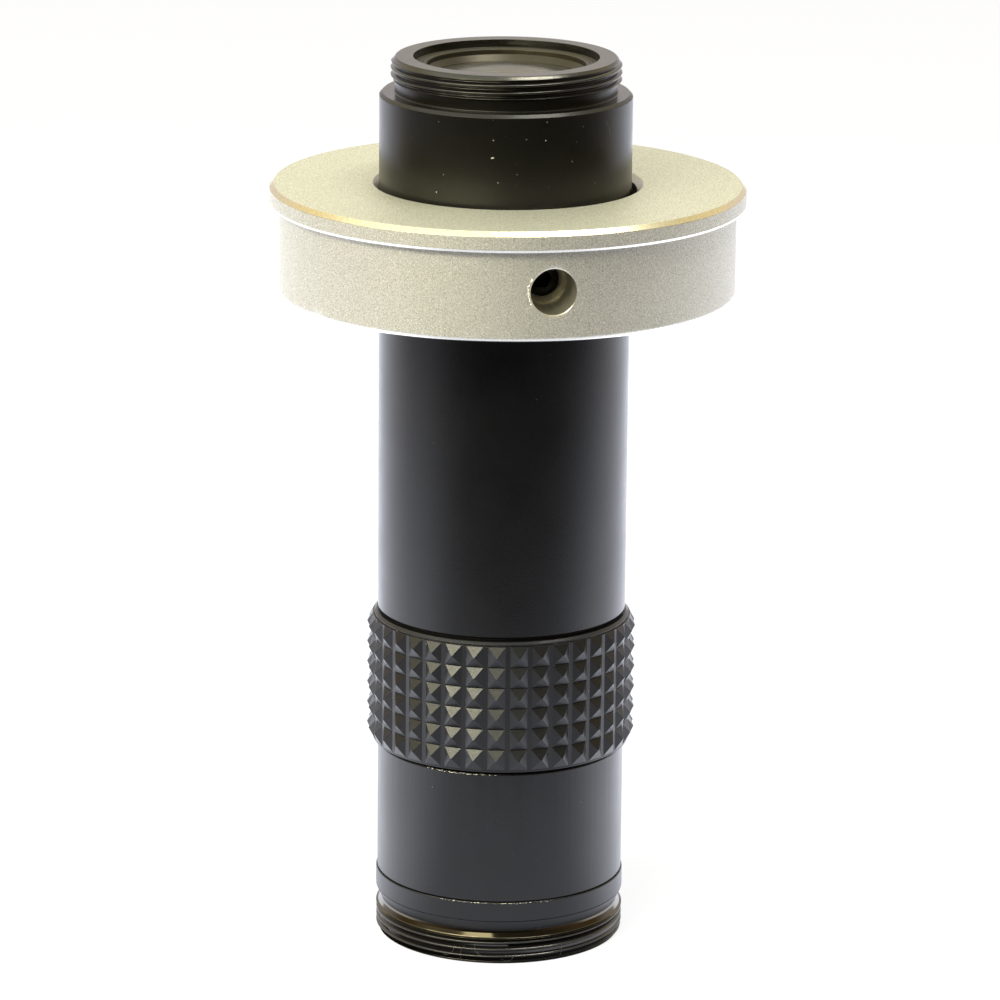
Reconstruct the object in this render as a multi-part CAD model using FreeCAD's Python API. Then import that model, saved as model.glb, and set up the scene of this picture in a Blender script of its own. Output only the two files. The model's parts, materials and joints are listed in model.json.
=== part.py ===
import FreeCAD, Part
import math
import os

# Zoom lens with a camera thread at its upper end, a zoom ring cut with rows of small pyramids, and a
# flanged stand ring clamped round the barrel. Lengths are in millimetres and angles in degrees.
# The origin is on the optical axis at the lower rim, and +Z points along the axis to the camera.

# Heights of the outer pieces, from the lower rim upwards
OBJECTIVE_HEIGHT = 7.1
FRONT_BARREL_HEIGHT = 14.9
MAIN_BARREL_HEIGHT = 38.1
ADAPTER_HEIGHT = 19.9
CAMERA_END_HEIGHT = 3.9

# Outer radius of the barrel, and the small steps of its neighbours from it
BARREL_R = 13.77
FRONT_STEP_IN = 0.04
ADAPTER_STEP_OUT = 0.04
CELL_STEP_OUT = 0.1
EDGE_BREAK = 0.15

# Fits
SLIDE_CLEARANCE = 0.05
SCREWED_CLEARANCE = 0.02
LENS_CLEARANCE = 0.03
FOLLOWER_CLEARANCE = 0.12
RING_END_PLAY = 0.05
SCREW_FREE_END = 0.1

# Camera end: one inch, 32 threads to the inch, as its crest cylinder above a relieved neck
CAMERA_THREAD_R = 12.62
CAMERA_THREAD_DEPTH = 0.52
CAMERA_NECK_HEIGHT = 1.2
CAMERA_END_CHAMFER = 0.6
SEAT_CHAMFER = 0.35

# Adapter, inside
REAR_SEAT_DEPTH = 9.5
REAR_SEAT_R = 10.13
REAR_SEAT_WIDTH = 1.23
REAR_TUNNEL_LENGTH = 6.0
SPIGOT_WALL = 1.4
SPIGOT_LENGTH = 9.0

# Rear lens group, from the adapter's inner step upwards
REAR_FLINT_EDGE = 3.4
REAR_SPACER_HEIGHT = 1.4
REAR_CROWN_EDGE = 2.6
REAR_RING_TOP_WIDTH = 1.46
REAR_RING_WIDTH = 2.11
REAR_RING_LAND_DEPTH = 0.57
REAR_RING_SINK = 0.83

# Main barrel, inside
SOCKET_WALL = 1.35
BARREL_BORE_STEP = 0.82
SHOULDER_WIDTH = 2.37
GUIDE_WALL = 1.4
GUIDE_LENGTH = 23.5
STOP_SEAT_RISE = 5.0
STOP_THICKNESS = 0.8
STOP_APERTURE_R = 4.0
STOP_RING_HEIGHT = 2.0
STOP_RING_WIDTH = 1.38

# Zoom ring: rows and columns of pyramids between a lower lip and an upper collar
GRIP_ROWS = 6
GRIP_COLUMNS = 37
GRIP_ROW_PITCH = 2.35
GRIP_RISE = 0.59
GRIP_DEPTH = 0.59
GRIP_STRIP = 0.5
GRIP_APEX_FLAT = 0.12
GRIP_PHASE = 3.0
GRIP_LIP_HEIGHT = 0.25
GRIP_LIP_SETBACK = 0.06
GRIP_COLLAR_HEIGHT = 0.45
GRIP_COLLAR_SETBACK = 0.2
GRIP_COLLAR_CHAMFER = 0.25
RING_CAP_HEIGHT = 0.7
RING_CAP_CLEARANCE = 0.2

# Thrust washers above and below the zoom ring
WASHER_THICKNESS = 0.3
WASHER_SETBACK = 0.47
WASHER_CLEARANCE = 0.1

# Cam: three helical slots, and three straight slots in the guide
CAM_TURN = 150.0
CAM_CLEARANCE = 0.06
CAM_WALL = 1.42
CAM_END_MARGIN = 2.55
SLOT_END_RELIEF = 0.03
FOLLOWERS = 3
FOLLOWER_PHASE = 30.0
FOLLOWER_HEAD_R = 1.1
FOLLOWER_THREAD_R = 0.6
FOLLOWER_THREAD_LENGTH = 1.5
FOLLOWER_HEAD_SINK = 0.13
DRIVER_SLOT_WIDTH = 0.35
DRIVER_SLOT_DEPTH = 0.5

# Carriage and its lens group
CARRIAGE_TAIL = 4.6
CARRIAGE_NOSE = 7.4
CARRIAGE_WALL = 1.0
CARRIAGE_RIB_WALL = 1.75
CARRIAGE_RIB_HALF = 1.9
ZOOM_FLINT_EDGE = 2.2
ZOOM_CROWN_EDGE = 2.1
ZOOM_LOCK_WIDTH = 1.4
ZOOM_LOCK_HEIGHT = 1.0
CEMENT_GAP = 0.02

# Front barrel, inside
FRONT_SHOULDER_HEIGHT = 2.4
FRONT_SHOULDER_WIDTH = 0.8
FRONT_SOCKET_WALL = 1.11

# Objective cell
CELL_BAND_HEIGHT = 2.17
CELL_TAPER_HEIGHT = 1.27
CELL_NECK_SETBACK = 0.57
CELL_THREAD_DEPTH = 0.57
CELL_THREAD_HEIGHT = 2.8
CELL_END_CHAMFER = 0.35
CELL_SPIGOT_WALL = 1.4
CELL_SPIGOT_LENGTH = 4.4
CELL_STEP_HEIGHT = 8.9
CELL_STEP_WIDTH = 1.6
CELL_MOUTH_WIDTH = 1.0
CELL_MOUTH_DEPTH = 1.0
FRONT_FLINT_EDGE = 2.9
FRONT_SPACER_HEIGHT = 1.0
FRONT_CROWN_EDGE = 2.6
FRONT_LOCK_HEIGHT = 1.2
FRONT_LOCK_WIDTH = 1.5
SPANNER_SLOT_WIDTH = 1.0
SPANNER_SLOT_DEPTH = 0.6

# Lens bulges at the axis, outwards from the edge
REAR_CROWN_SAG = 0.9
REAR_FLINT_SAG = 0.5
ZOOM_SAG = 1.0
ZOOM_CEMENT_SAG = 0.8
FRONT_CROWN_SAG = 1.0
FRONT_INNER_SAG = 0.4
LENS_SPACER_WALL = 1.2

# Stand ring
STAND_BODY_R = 25.0
STAND_FLANGE_REACH = 1.05
STAND_HEIGHT = 12.15
STAND_FLANGE_HEIGHT = 2.25
STAND_BELOW_SEAT = 10.05
STAND_BORE_CLEARANCE = 0.3
STAND_OFFSET = 0.29
STAND_FLANGE_CHAMFER = 0.5
STAND_UNDER_CHAMFER = 0.45
STAND_BASE_CHAMFER = 0.5
STAND_BORE_CHAMFER = 0.65

# Set screws of the stand ring
SET_SCREWS = 3
SET_SCREW_PHASE = 11.26
SET_SCREW_HEIGHT = 5.45
SET_SCREW_R = 1.95
SET_SCREW_LENGTH = 4.5
SET_SCREW_POINT_CHAMFER = 0.5
SET_SCREW_POINT_GAP = 0.01
SET_SCREW_HOLE_R = 2.0
COUNTERBORE_R = 2.5
COUNTERBORE_DEPTH = 5.5
HEX_SIDES = 6
HEX_ACROSS_FLATS = 2.0
HEX_DEPTH = 1.8

# Heights above the origin that follow from the sizes
seam_z = OBJECTIVE_HEIGHT
front_top_z = seam_z + FRONT_BARREL_HEIGHT
ring_low_z = front_top_z + WASHER_THICKNESS + RING_END_PLAY
grip_low_z = ring_low_z + GRIP_LIP_HEIGHT
grip_high_z = grip_low_z + GRIP_ROWS * GRIP_ROW_PITCH
ring_high_z = grip_high_z + GRIP_COLLAR_HEIGHT
shoulder_z = ring_high_z + RING_END_PLAY + WASHER_THICKNESS
joint_z = shoulder_z + MAIN_BARREL_HEIGHT
seat_z = joint_z + ADAPTER_HEIGHT
top_z = seat_z + CAMERA_END_HEIGHT
guide_low_z = shoulder_z - GUIDE_LENGTH
stop_z = shoulder_z + STOP_SEAT_RISE
spigot_low_z = joint_z - SPIGOT_LENGTH
rear_seat_z = top_z - REAR_SEAT_DEPTH
cam_high_z = ring_high_z - RING_CAP_HEIGHT
follower_z = ring_low_z + CAM_END_MARGIN
cam_travel = cam_high_z - ring_low_z - 2 * CAM_END_MARGIN
stand_high_z = seat_z - STAND_BELOW_SEAT
stand_low_z = stand_high_z - STAND_HEIGHT
set_screw_z = stand_low_z + SET_SCREW_HEIGHT

# Radii that follow from the sizes, from the outside inwards
front_barrel_r = BARREL_R - FRONT_STEP_IN
adapter_r = BARREL_R + ADAPTER_STEP_OUT
cell_r = BARREL_R + CELL_STEP_OUT
cell_neck_r = cell_r - CELL_NECK_SETBACK
cell_thread_r = cell_neck_r + CELL_THREAD_DEPTH
grip_valley_r = BARREL_R + GRIP_RISE
grip_peak_r = grip_valley_r + GRIP_DEPTH
stand_bore_r = adapter_r + STAND_BORE_CLEARANCE
stand_flange_r = STAND_BODY_R + STAND_FLANGE_REACH
camera_neck_r = CAMERA_THREAD_R - CAMERA_THREAD_DEPTH
rear_tunnel_r = REAR_SEAT_R - REAR_SEAT_WIDTH
rear_ring_r = REAR_SEAT_R - SCREWED_CLEARANCE
rear_ring_land_r = rear_ring_r - REAR_RING_TOP_WIDTH
rear_ring_opening_r = rear_ring_r - REAR_RING_WIDTH
socket_r = BARREL_R - SOCKET_WALL
spigot_r = socket_r - SCREWED_CLEARANCE
adapter_hollow_r = spigot_r - SPIGOT_WALL
barrel_bore_r = socket_r - BARREL_BORE_STEP
guide_r = BARREL_R - SHOULDER_WIDTH
guide_bore_r = guide_r - GUIDE_WALL
cam_bore_r = guide_r + CAM_CLEARANCE
cam_outer_r = cam_bore_r + CAM_WALL
ring_bore_r = cam_outer_r + SCREWED_CLEARANCE
washer_inner_r = guide_r + WASHER_CLEARANCE
washer_outer_r = BARREL_R - WASHER_SETBACK
carriage_r = guide_bore_r - SLIDE_CLEARANCE
carriage_bore_r = carriage_r - CARRIAGE_WALL
follower_slot_r = FOLLOWER_HEAD_R + FOLLOWER_CLEARANCE
front_shoulder_r = guide_r - FRONT_SHOULDER_WIDTH
front_socket_r = front_barrel_r - FRONT_SOCKET_WALL
cell_spigot_r = front_socket_r - SCREWED_CLEARANCE
cell_bore_r = cell_spigot_r - CELL_SPIGOT_WALL
cell_mouth_r = cell_bore_r + CELL_MOUTH_WIDTH
cell_step_r = cell_bore_r - CELL_STEP_WIDTH

AXIS = FreeCAD.Vector(0, 0, 1)
ORIGIN = FreeCAD.Vector(0, 0, 0)
CUT_OVER = 1.0


def turned(profile):
    """A solid turned about the optical axis from a closed outline of (radius, height) points."""
    points = [FreeCAD.Vector(r, 0, z) for r, z in profile]
    face = Part.Face(Part.makePolygon(points + [points[0]]))
    return face.revolve(ORIGIN, AXIS, 360)


def tube(outer_r, inner_r, low_z, high_z):
    """A plain ring between two heights."""
    return turned([(inner_r, low_z), (outer_r, low_z), (outer_r, high_z), (inner_r, high_z)])


def lens_face(clear_r, edge_z, sag, side):
    """Arc of a lens face from the axis out to its clear radius; a sag above nought bulges outwards."""
    sphere_r = (clear_r ** 2 + sag ** 2) / (2 * abs(sag))
    half_r = clear_r / 2
    drop = sphere_r - math.sqrt(sphere_r ** 2 - half_r ** 2)
    middle_z = edge_z + side * (sag - math.copysign(drop, sag))
    centre = FreeCAD.Vector(0, 0, edge_z + side * sag)
    middle = FreeCAD.Vector(half_r, 0, middle_z)
    return Part.Arc(centre, middle, FreeCAD.Vector(clear_r, 0, edge_z)).toShape()


def lens(radius, low_z, high_z, low_face, high_face):
    """A lens with a cylindrical edge. Each face is its clear radius and its sag, inside a flat rim."""
    low_r, low_sag = low_face
    high_r, high_sag = high_face
    rim = [(low_r, low_z), (radius, low_z), (radius, high_z), (high_r, high_z)]
    corners = [FreeCAD.Vector(r, 0, z) for r, z in rim]
    outline = [lens_face(low_r, low_z, low_sag, -1)]
    outline += [Part.makeLine(a, b) for a, b in zip(corners, corners[1:]) if a.distanceToPoint(b) > 0]
    outline.append(lens_face(high_r, high_z, high_sag, 1))
    head = FreeCAD.Vector(0, 0, high_z + high_sag)
    outline.append(Part.makeLine(head, FreeCAD.Vector(0, 0, low_z - low_sag)))
    return Part.Face(Part.Wire(Part.__sortEdges__(outline))).revolve(ORIGIN, AXIS, 360)


def radial(shape, angle, height=0.0, centre_x=0.0):
    """A shape modelled along +X, turned about the axis to an angle and moved into its place."""
    placed = shape.copy()
    placed.rotate(ORIGIN, AXIS, angle)
    placed.translate(FreeCAD.Vector(centre_x, 0, height))
    return placed


def rod(radius, start, end):
    """A round bar along +X between two distances from the axis."""
    return Part.makeCylinder(radius, end - start, FreeCAD.Vector(start, 0, 0), FreeCAD.Vector(1, 0, 0))


def from_front(angle):
    """Turn an angle counted from the front (-Y) towards +X into one counted from +X."""
    return angle - 90


def c_mount_adapter():
    """Upper tube with the camera thread, its seat, and a spigot that screws into the main barrel."""
    tunnel_low_z = rear_seat_z - REAR_TUNNEL_LENGTH
    return turned([
        (adapter_hollow_r, spigot_low_z), (spigot_r, spigot_low_z), (spigot_r, joint_z),
        (adapter_r, joint_z), (adapter_r, seat_z - SEAT_CHAMFER), (adapter_r - SEAT_CHAMFER, seat_z),
        (camera_neck_r, seat_z), (camera_neck_r, seat_z + CAMERA_NECK_HEIGHT),
        (CAMERA_THREAD_R, seat_z + CAMERA_NECK_HEIGHT + CAMERA_THREAD_R - camera_neck_r),
        (CAMERA_THREAD_R, top_z - CAMERA_END_CHAMFER), (CAMERA_THREAD_R - CAMERA_END_CHAMFER, top_z),
        (REAR_SEAT_R, top_z), (REAR_SEAT_R, rear_seat_z), (rear_tunnel_r, rear_seat_z),
        (rear_tunnel_r, tunnel_low_z), (adapter_hollow_r, tunnel_low_z),
    ])


def rear_group():
    """Rear lenses, their spacer and the stepped ring that holds them down on the adapter's step."""
    lens_r = REAR_SEAT_R - LENS_CLEARANCE
    flint_high_z = rear_seat_z + REAR_FLINT_EDGE
    crown_low_z = flint_high_z + REAR_SPACER_HEIGHT
    crown_high_z = crown_low_z + REAR_CROWN_EDGE
    ring_high = top_z - REAR_RING_SINK
    land_z = ring_high - REAR_RING_LAND_DEPTH
    lock = turned([
        (rear_ring_opening_r, crown_high_z), (rear_ring_r, crown_high_z), (rear_ring_r, ring_high),
        (rear_ring_land_r, ring_high), (rear_ring_land_r, land_z),
    ])
    inner_r = lens_r - LENS_SPACER_WALL
    hollow = (rear_tunnel_r, -REAR_FLINT_SAG)
    return {
        "rear_flint_lens": lens(lens_r, rear_seat_z, flint_high_z, hollow, (inner_r, -REAR_FLINT_SAG)),
        "rear_lens_spacer": tube(lens_r, inner_r, flint_high_z, crown_low_z),
        "rear_crown_lens": lens(lens_r, crown_low_z, crown_high_z, (inner_r, REAR_FLINT_SAG),
                                (rear_ring_opening_r, REAR_CROWN_SAG)),
        "rear_retaining_ring": lock,
    }


def guide_slot():
    """A straight slot along the guide, round at both ends, cut out along +X."""
    start = guide_bore_r - CUT_OVER
    end = guide_r + CUT_OVER
    low = rod(follower_slot_r, start, end)
    high = low.copy()
    high.translate(FreeCAD.Vector(0, 0, cam_travel))
    corner = FreeCAD.Vector(start, -follower_slot_r, 0)
    middle = Part.makeBox(end - start, 2 * follower_slot_r, cam_travel, corner)
    return low.fuse([middle, high])


def main_barrel():
    """Barrel above the zoom ring, with the slotted guide on which the ring turns."""
    shell = turned([
        (guide_bore_r, guide_low_z), (guide_r, guide_low_z), (guide_r, shoulder_z),
        (BARREL_R - EDGE_BREAK, shoulder_z), (BARREL_R, shoulder_z + EDGE_BREAK),
        (BARREL_R, joint_z), (socket_r, joint_z), (socket_r, spigot_low_z - SCREW_FREE_END),
        (barrel_bore_r, spigot_low_z - SCREW_FREE_END), (barrel_bore_r, stop_z), (guide_bore_r, stop_z),
    ])
    slot = guide_slot()
    step = 360 / FOLLOWERS
    return shell.cut([radial(slot, FOLLOWER_PHASE + step * i, follower_z) for i in range(FOLLOWERS)])


def aperture_group():
    """Fixed stop on the barrel's inner step, and the ring screwed down on it."""
    outer_r = barrel_bore_r - SCREWED_CLEARANCE
    opening_r = outer_r - STOP_RING_WIDTH
    stop_high_z = stop_z + STOP_THICKNESS
    return {
        "aperture_stop": tube(outer_r, STOP_APERTURE_R, stop_z, stop_high_z),
        "stop_retaining_ring": tube(outer_r, opening_r, stop_high_z, stop_high_z + STOP_RING_HEIGHT),
    }


def grip_groove():
    """Cutter for the space between two columns: a flat strip with a sloped flank on each side."""
    half_pitch = math.pi / GRIP_COLUMNS
    beyond_r = grip_peak_r + CUT_OVER
    flank_y = grip_peak_r * math.sin(half_pitch) - GRIP_APEX_FLAT / 2
    beyond_y = beyond_r * math.sin(half_pitch) - GRIP_APEX_FLAT / 2
    flank_x = grip_peak_r * math.cos(half_pitch)
    beyond_x = beyond_r * math.cos(half_pitch)
    half = [(grip_valley_r, GRIP_STRIP / 2), (flank_x, flank_y), (beyond_x, beyond_y)]
    outline = half + [(x, -y) for x, y in reversed(half)]
    low_z = grip_low_z - GRIP_LIP_HEIGHT / 2
    points = [FreeCAD.Vector(x, y, low_z) for x, y in outline]
    face = Part.Face(Part.makePolygon(points + [points[0]]))
    height = GRIP_ROWS * GRIP_ROW_PITCH + (GRIP_LIP_HEIGHT + GRIP_COLLAR_HEIGHT) / 2
    return face.extrude(AXIS * height)


def zoom_ring():
    """Grip ring: six turned ridges crossed by straight grooves leave rows of four-sided pyramids."""
    lip_r = grip_valley_r - GRIP_LIP_SETBACK
    collar_r = grip_valley_r - GRIP_COLLAR_SETBACK
    cap_r = guide_r + RING_CAP_CLEARANCE
    profile = [(ring_bore_r, ring_low_z), (lip_r, ring_low_z), (lip_r, grip_low_z)]
    for row in range(GRIP_ROWS):
        row_z = grip_low_z + row * GRIP_ROW_PITCH
        profile += [(grip_valley_r, row_z), (grip_peak_r, row_z + GRIP_ROW_PITCH / 2)]
    profile += [
        (grip_valley_r, grip_high_z), (collar_r, grip_high_z),
        (collar_r, ring_high_z - GRIP_COLLAR_CHAMFER), (collar_r - GRIP_COLLAR_CHAMFER, ring_high_z),
        (cap_r, ring_high_z), (cap_r, cam_high_z), (ring_bore_r, cam_high_z),
    ]
    ring = turned(profile)
    groove = grip_groove()
    step = 360 / GRIP_COLUMNS
    first = from_front(GRIP_PHASE)
    return ring.cut([radial(groove, first + step * i) for i in range(GRIP_COLUMNS)])


def cam_slot():
    """Cutter for one helical slot, rising clockwise seen from the camera, with round ends."""
    middle_r = (cam_outer_r + cam_bore_r) / 2
    pitch = cam_travel * 360 / CAM_TURN
    path = Part.makeHelix(pitch, cam_travel, middle_r)
    half_width = follower_slot_r
    inner_r = cam_bore_r - CUT_OVER
    outer_r = cam_outer_r + CUT_OVER
    lead_angle = math.atan2(pitch, 2 * math.pi * middle_r)
    across_y = -half_width * math.sin(lead_angle)
    across_z = half_width * math.cos(lead_angle)
    corners = [
        FreeCAD.Vector(inner_r, across_y, across_z), FreeCAD.Vector(outer_r, across_y, across_z),
        FreeCAD.Vector(outer_r, -across_y, -across_z), FreeCAD.Vector(inner_r, -across_y, -across_z),
    ]
    sweep = Part.BRepOffsetAPI.MakePipeShell(path)
    sweep.setFrenetMode(True)
    sweep.add(Part.makePolygon(corners + [corners[0]]))
    sweep.build()
    sweep.makeSolid()
    body = sweep.shape()
    low_end = rod(half_width + SLOT_END_RELIEF, inner_r, outer_r)
    high_end = radial(low_end, CAM_TURN, cam_travel)
    slot = body.fuse([low_end, high_end])
    return slot.mirror(ORIGIN, FreeCAD.Vector(0, 1, 0))


def cam_sleeve():
    """Sleeve bonded inside the zoom ring, with one helical slot for each follower."""
    sleeve = tube(cam_outer_r, cam_bore_r, ring_low_z, cam_high_z)
    slot = cam_slot()
    step = 360 / FOLLOWERS
    return sleeve.cut([radial(slot, FOLLOWER_PHASE + step * i, follower_z) for i in range(FOLLOWERS)])


def thrust_washers():
    """Thin rings on which the zoom ring turns, one on each side of it."""
    low_end_z = front_top_z + WASHER_THICKNESS
    high_end_z = shoulder_z - WASHER_THICKNESS
    return {
        "lower_thrust_washer": tube(washer_outer_r, washer_inner_r, front_top_z, low_end_z),
        "upper_thrust_washer": tube(washer_outer_r, washer_inner_r, high_end_z, shoulder_z),
    }


def follower():
    """Shoulder screw along +X: its thread sits in the carriage and its head runs in both slots."""
    head_end = cam_outer_r - FOLLOWER_HEAD_SINK
    head = rod(FOLLOWER_HEAD_R, carriage_r, head_end)
    thread = rod(FOLLOWER_THREAD_R, carriage_r - FOLLOWER_THREAD_LENGTH, carriage_r)
    slot_corner = FreeCAD.Vector(head_end - DRIVER_SLOT_DEPTH, -DRIVER_SLOT_WIDTH / 2, -FOLLOWER_HEAD_R)
    slot = Part.makeBox(DRIVER_SLOT_DEPTH, DRIVER_SLOT_WIDTH, 2 * FOLLOWER_HEAD_R, slot_corner)
    return head.fuse(thread).cut(slot)


def carriage_group():
    """Sliding cell inside the guide, its cemented pair of lenses and its three followers."""
    low_z = follower_z - CARRIAGE_TAIL
    high_z = follower_z + CARRIAGE_NOSE
    rib_low_z = follower_z - CARRIAGE_RIB_HALF
    rib_high_z = follower_z + CARRIAGE_RIB_HALF
    rib_r = carriage_r - CARRIAGE_RIB_WALL
    cell = turned([
        (carriage_bore_r, low_z), (carriage_r, low_z), (carriage_r, high_z), (carriage_bore_r, high_z),
        (carriage_bore_r, rib_high_z), (rib_r, rib_high_z), (rib_r, rib_low_z),
        (carriage_bore_r, rib_low_z),
    ])
    step = 360 / FOLLOWERS
    turns = [FOLLOWER_PHASE + step * i for i in range(FOLLOWERS)]
    hole = rod(FOLLOWER_THREAD_R + SCREWED_CLEARANCE, rib_r - CUT_OVER, carriage_r + CUT_OVER)
    cell = cell.cut([radial(hole, turn, follower_z) for turn in turns])
    lens_r = carriage_bore_r - LENS_CLEARANCE
    flint_high_z = rib_high_z + ZOOM_FLINT_EDGE
    crown_low_z = flint_high_z + CEMENT_GAP
    crown_high_z = crown_low_z + ZOOM_CROWN_EDGE
    lock_r = carriage_bore_r - SCREWED_CLEARANCE
    lock_opening_r = lock_r - ZOOM_LOCK_WIDTH
    return {
        "zoom_carriage": cell,
        "zoom_flint_lens": lens(lens_r, rib_high_z, flint_high_z, (rib_r, -ZOOM_SAG),
                                (lens_r, -ZOOM_CEMENT_SAG)),
        "zoom_crown_lens": lens(lens_r, crown_low_z, crown_high_z, (lens_r, ZOOM_CEMENT_SAG),
                                (lock_opening_r, ZOOM_SAG)),
        "zoom_retaining_ring": tube(lock_r, lock_opening_r, crown_high_z, crown_high_z + ZOOM_LOCK_HEIGHT),
        "cam_followers": Part.makeCompound([radial(follower(), turn, follower_z) for turn in turns]),
    }


def front_barrel():
    """Plain barrel that screws on the guide's end and traps the zoom ring."""
    socket_high_z = guide_low_z - FRONT_SHOULDER_HEIGHT
    guide_fit_r = guide_r + SCREWED_CLEARANCE
    return turned([
        (front_socket_r, seam_z), (front_barrel_r - EDGE_BREAK, seam_z),
        (front_barrel_r, seam_z + EDGE_BREAK),
        (front_barrel_r, front_top_z - EDGE_BREAK), (front_barrel_r - EDGE_BREAK, front_top_z),
        (guide_fit_r, front_top_z), (guide_fit_r, guide_low_z), (front_shoulder_r, guide_low_z),
        (front_shoulder_r, socket_high_z), (front_socket_r, socket_high_z),
    ])


def objective_cell():
    """Lower cell: a smooth band, a taper to the neck, the outer thread, and a spigot above."""
    band_low_z = seam_z - CELL_BAND_HEIGHT
    neck_z = band_low_z - CELL_TAPER_HEIGHT
    spigot_high_z = seam_z + CELL_SPIGOT_LENGTH
    return turned([
        (cell_mouth_r, 0), (cell_thread_r - CELL_END_CHAMFER, 0), (cell_thread_r, CELL_END_CHAMFER),
        (cell_thread_r, CELL_THREAD_HEIGHT), (cell_neck_r, CELL_THREAD_HEIGHT), (cell_neck_r, neck_z),
        (cell_r, band_low_z), (cell_r, seam_z - EDGE_BREAK), (cell_r - EDGE_BREAK, seam_z),
        (cell_spigot_r, seam_z), (cell_spigot_r, spigot_high_z), (cell_step_r, spigot_high_z),
        (cell_step_r, CELL_STEP_HEIGHT), (cell_bore_r, CELL_STEP_HEIGHT), (cell_bore_r, CELL_MOUTH_DEPTH),
        (cell_mouth_r, CELL_MOUTH_DEPTH),
    ])


def front_group():
    """Front lenses, their spacer and the slotted ring that holds them up against the cell's step."""
    lens_r = cell_bore_r - LENS_CLEARANCE
    flint_low_z = CELL_STEP_HEIGHT - FRONT_FLINT_EDGE
    crown_high_z = flint_low_z - FRONT_SPACER_HEIGHT
    crown_low_z = crown_high_z - FRONT_CROWN_EDGE
    lock_low_z = crown_low_z - FRONT_LOCK_HEIGHT
    lock_r = cell_bore_r - SCREWED_CLEARANCE
    lock_opening_r = lock_r - FRONT_LOCK_WIDTH
    inner_r = lens_r - LENS_SPACER_WALL
    lock = tube(lock_r, lock_opening_r, lock_low_z, crown_low_z)
    corner = FreeCAD.Vector(-cell_bore_r, -SPANNER_SLOT_WIDTH / 2, lock_low_z)
    slot = Part.makeBox(2 * cell_bore_r, SPANNER_SLOT_WIDTH, SPANNER_SLOT_DEPTH, corner)
    return {
        "front_flint_lens": lens(lens_r, flint_low_z, CELL_STEP_HEIGHT, (inner_r, -FRONT_INNER_SAG),
                                 (cell_step_r, -FRONT_INNER_SAG)),
        "front_lens_spacer": tube(lens_r, inner_r, crown_high_z, flint_low_z),
        "front_crown_lens": lens(lens_r, crown_low_z, crown_high_z, (lock_opening_r, FRONT_CROWN_SAG),
                                 (inner_r, FRONT_INNER_SAG)),
        "front_retaining_ring": lock.cut(slot),
    }


def set_screw_turns():
    """Angles of the stand ring's set screws, counted from +X."""
    step = 360 / SET_SCREWS
    return [from_front(SET_SCREW_PHASE) + step * i for i in range(SET_SCREWS)]


def mounting_ring():
    """Flanged ring that a stand holds, with a stepped radial hole for each set screw."""
    flange_low_z = stand_high_z - STAND_FLANGE_HEIGHT
    blank = turned([
        (stand_bore_r + STAND_BASE_CHAMFER, stand_low_z), (STAND_BODY_R - STAND_BASE_CHAMFER, stand_low_z),
        (STAND_BODY_R, stand_low_z + STAND_BASE_CHAMFER), (STAND_BODY_R, flange_low_z),
        (stand_flange_r - STAND_UNDER_CHAMFER, flange_low_z),
        (stand_flange_r, flange_low_z + STAND_UNDER_CHAMFER),
        (stand_flange_r, stand_high_z - STAND_FLANGE_CHAMFER),
        (stand_flange_r - STAND_FLANGE_CHAMFER, stand_high_z),
        (stand_bore_r + STAND_BORE_CHAMFER, stand_high_z),
        (stand_bore_r, stand_high_z - STAND_BORE_CHAMFER), (stand_bore_r, stand_low_z + STAND_BASE_CHAMFER),
    ])
    wide_from = STAND_BODY_R - COUNTERBORE_DEPTH
    narrow = rod(SET_SCREW_HOLE_R, stand_bore_r - CUT_OVER, wide_from + CUT_OVER)
    wide = rod(COUNTERBORE_R, wide_from, stand_flange_r + CUT_OVER)
    hole = narrow.fuse(wide)
    ring = blank.cut([radial(hole, turn, set_screw_z) for turn in set_screw_turns()])
    ring.translate(FreeCAD.Vector(STAND_OFFSET, 0, 0))
    return ring


def set_screw(turn):
    """Socket set screw whose flat point bears on the adapter, seen along the hole's own direction."""
    along = STAND_OFFSET * math.cos(math.radians(turn))
    touch_r = adapter_r + SET_SCREW_POINT_GAP
    tip = -along + math.sqrt(along ** 2 - STAND_OFFSET ** 2 + touch_r ** 2)
    end = tip + SET_SCREW_LENGTH
    point_r = SET_SCREW_R - SET_SCREW_POINT_CHAMFER
    body = rod(SET_SCREW_R, tip + SET_SCREW_POINT_CHAMFER, end)
    point = Part.makeCone(point_r, SET_SCREW_R, SET_SCREW_POINT_CHAMFER, FreeCAD.Vector(tip, 0, 0),
                          FreeCAD.Vector(1, 0, 0))
    corner_r = HEX_ACROSS_FLATS / 2 / math.cos(math.pi / HEX_SIDES)
    corners = []
    for i in range(HEX_SIDES):
        turn_by = 2 * math.pi * i / HEX_SIDES
        corners.append(FreeCAD.Vector(end, corner_r * math.cos(turn_by), corner_r * math.sin(turn_by)))
    socket = Part.Face(Part.makePolygon(corners + [corners[0]])).extrude(FreeCAD.Vector(-HEX_DEPTH, 0, 0))
    return radial(body.fuse(point).cut(socket), turn, set_screw_z, STAND_OFFSET)


def build():
    """Every piece by name."""
    nodes = {
        "c_mount_adapter": c_mount_adapter(),
        "main_barrel": main_barrel(),
        "zoom_ring": zoom_ring(),
        "cam_sleeve": cam_sleeve(),
        "front_barrel": front_barrel(),
        "objective_cell": objective_cell(),
        "mounting_ring": mounting_ring(),
        "mounting_set_screws": Part.makeCompound([set_screw(turn) for turn in set_screw_turns()]),
    }
    for group in (rear_group, aperture_group, thrust_washers, carriage_group, front_group):
        nodes.update(group())
    return nodes


os.makedirs("parts", exist_ok=True)
for name, shape in build().items():
    shape.exportStep("parts/" + name + ".step")
print("cam travel", round(cam_travel, 4), "mm over", CAM_TURN, "degrees")
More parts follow.
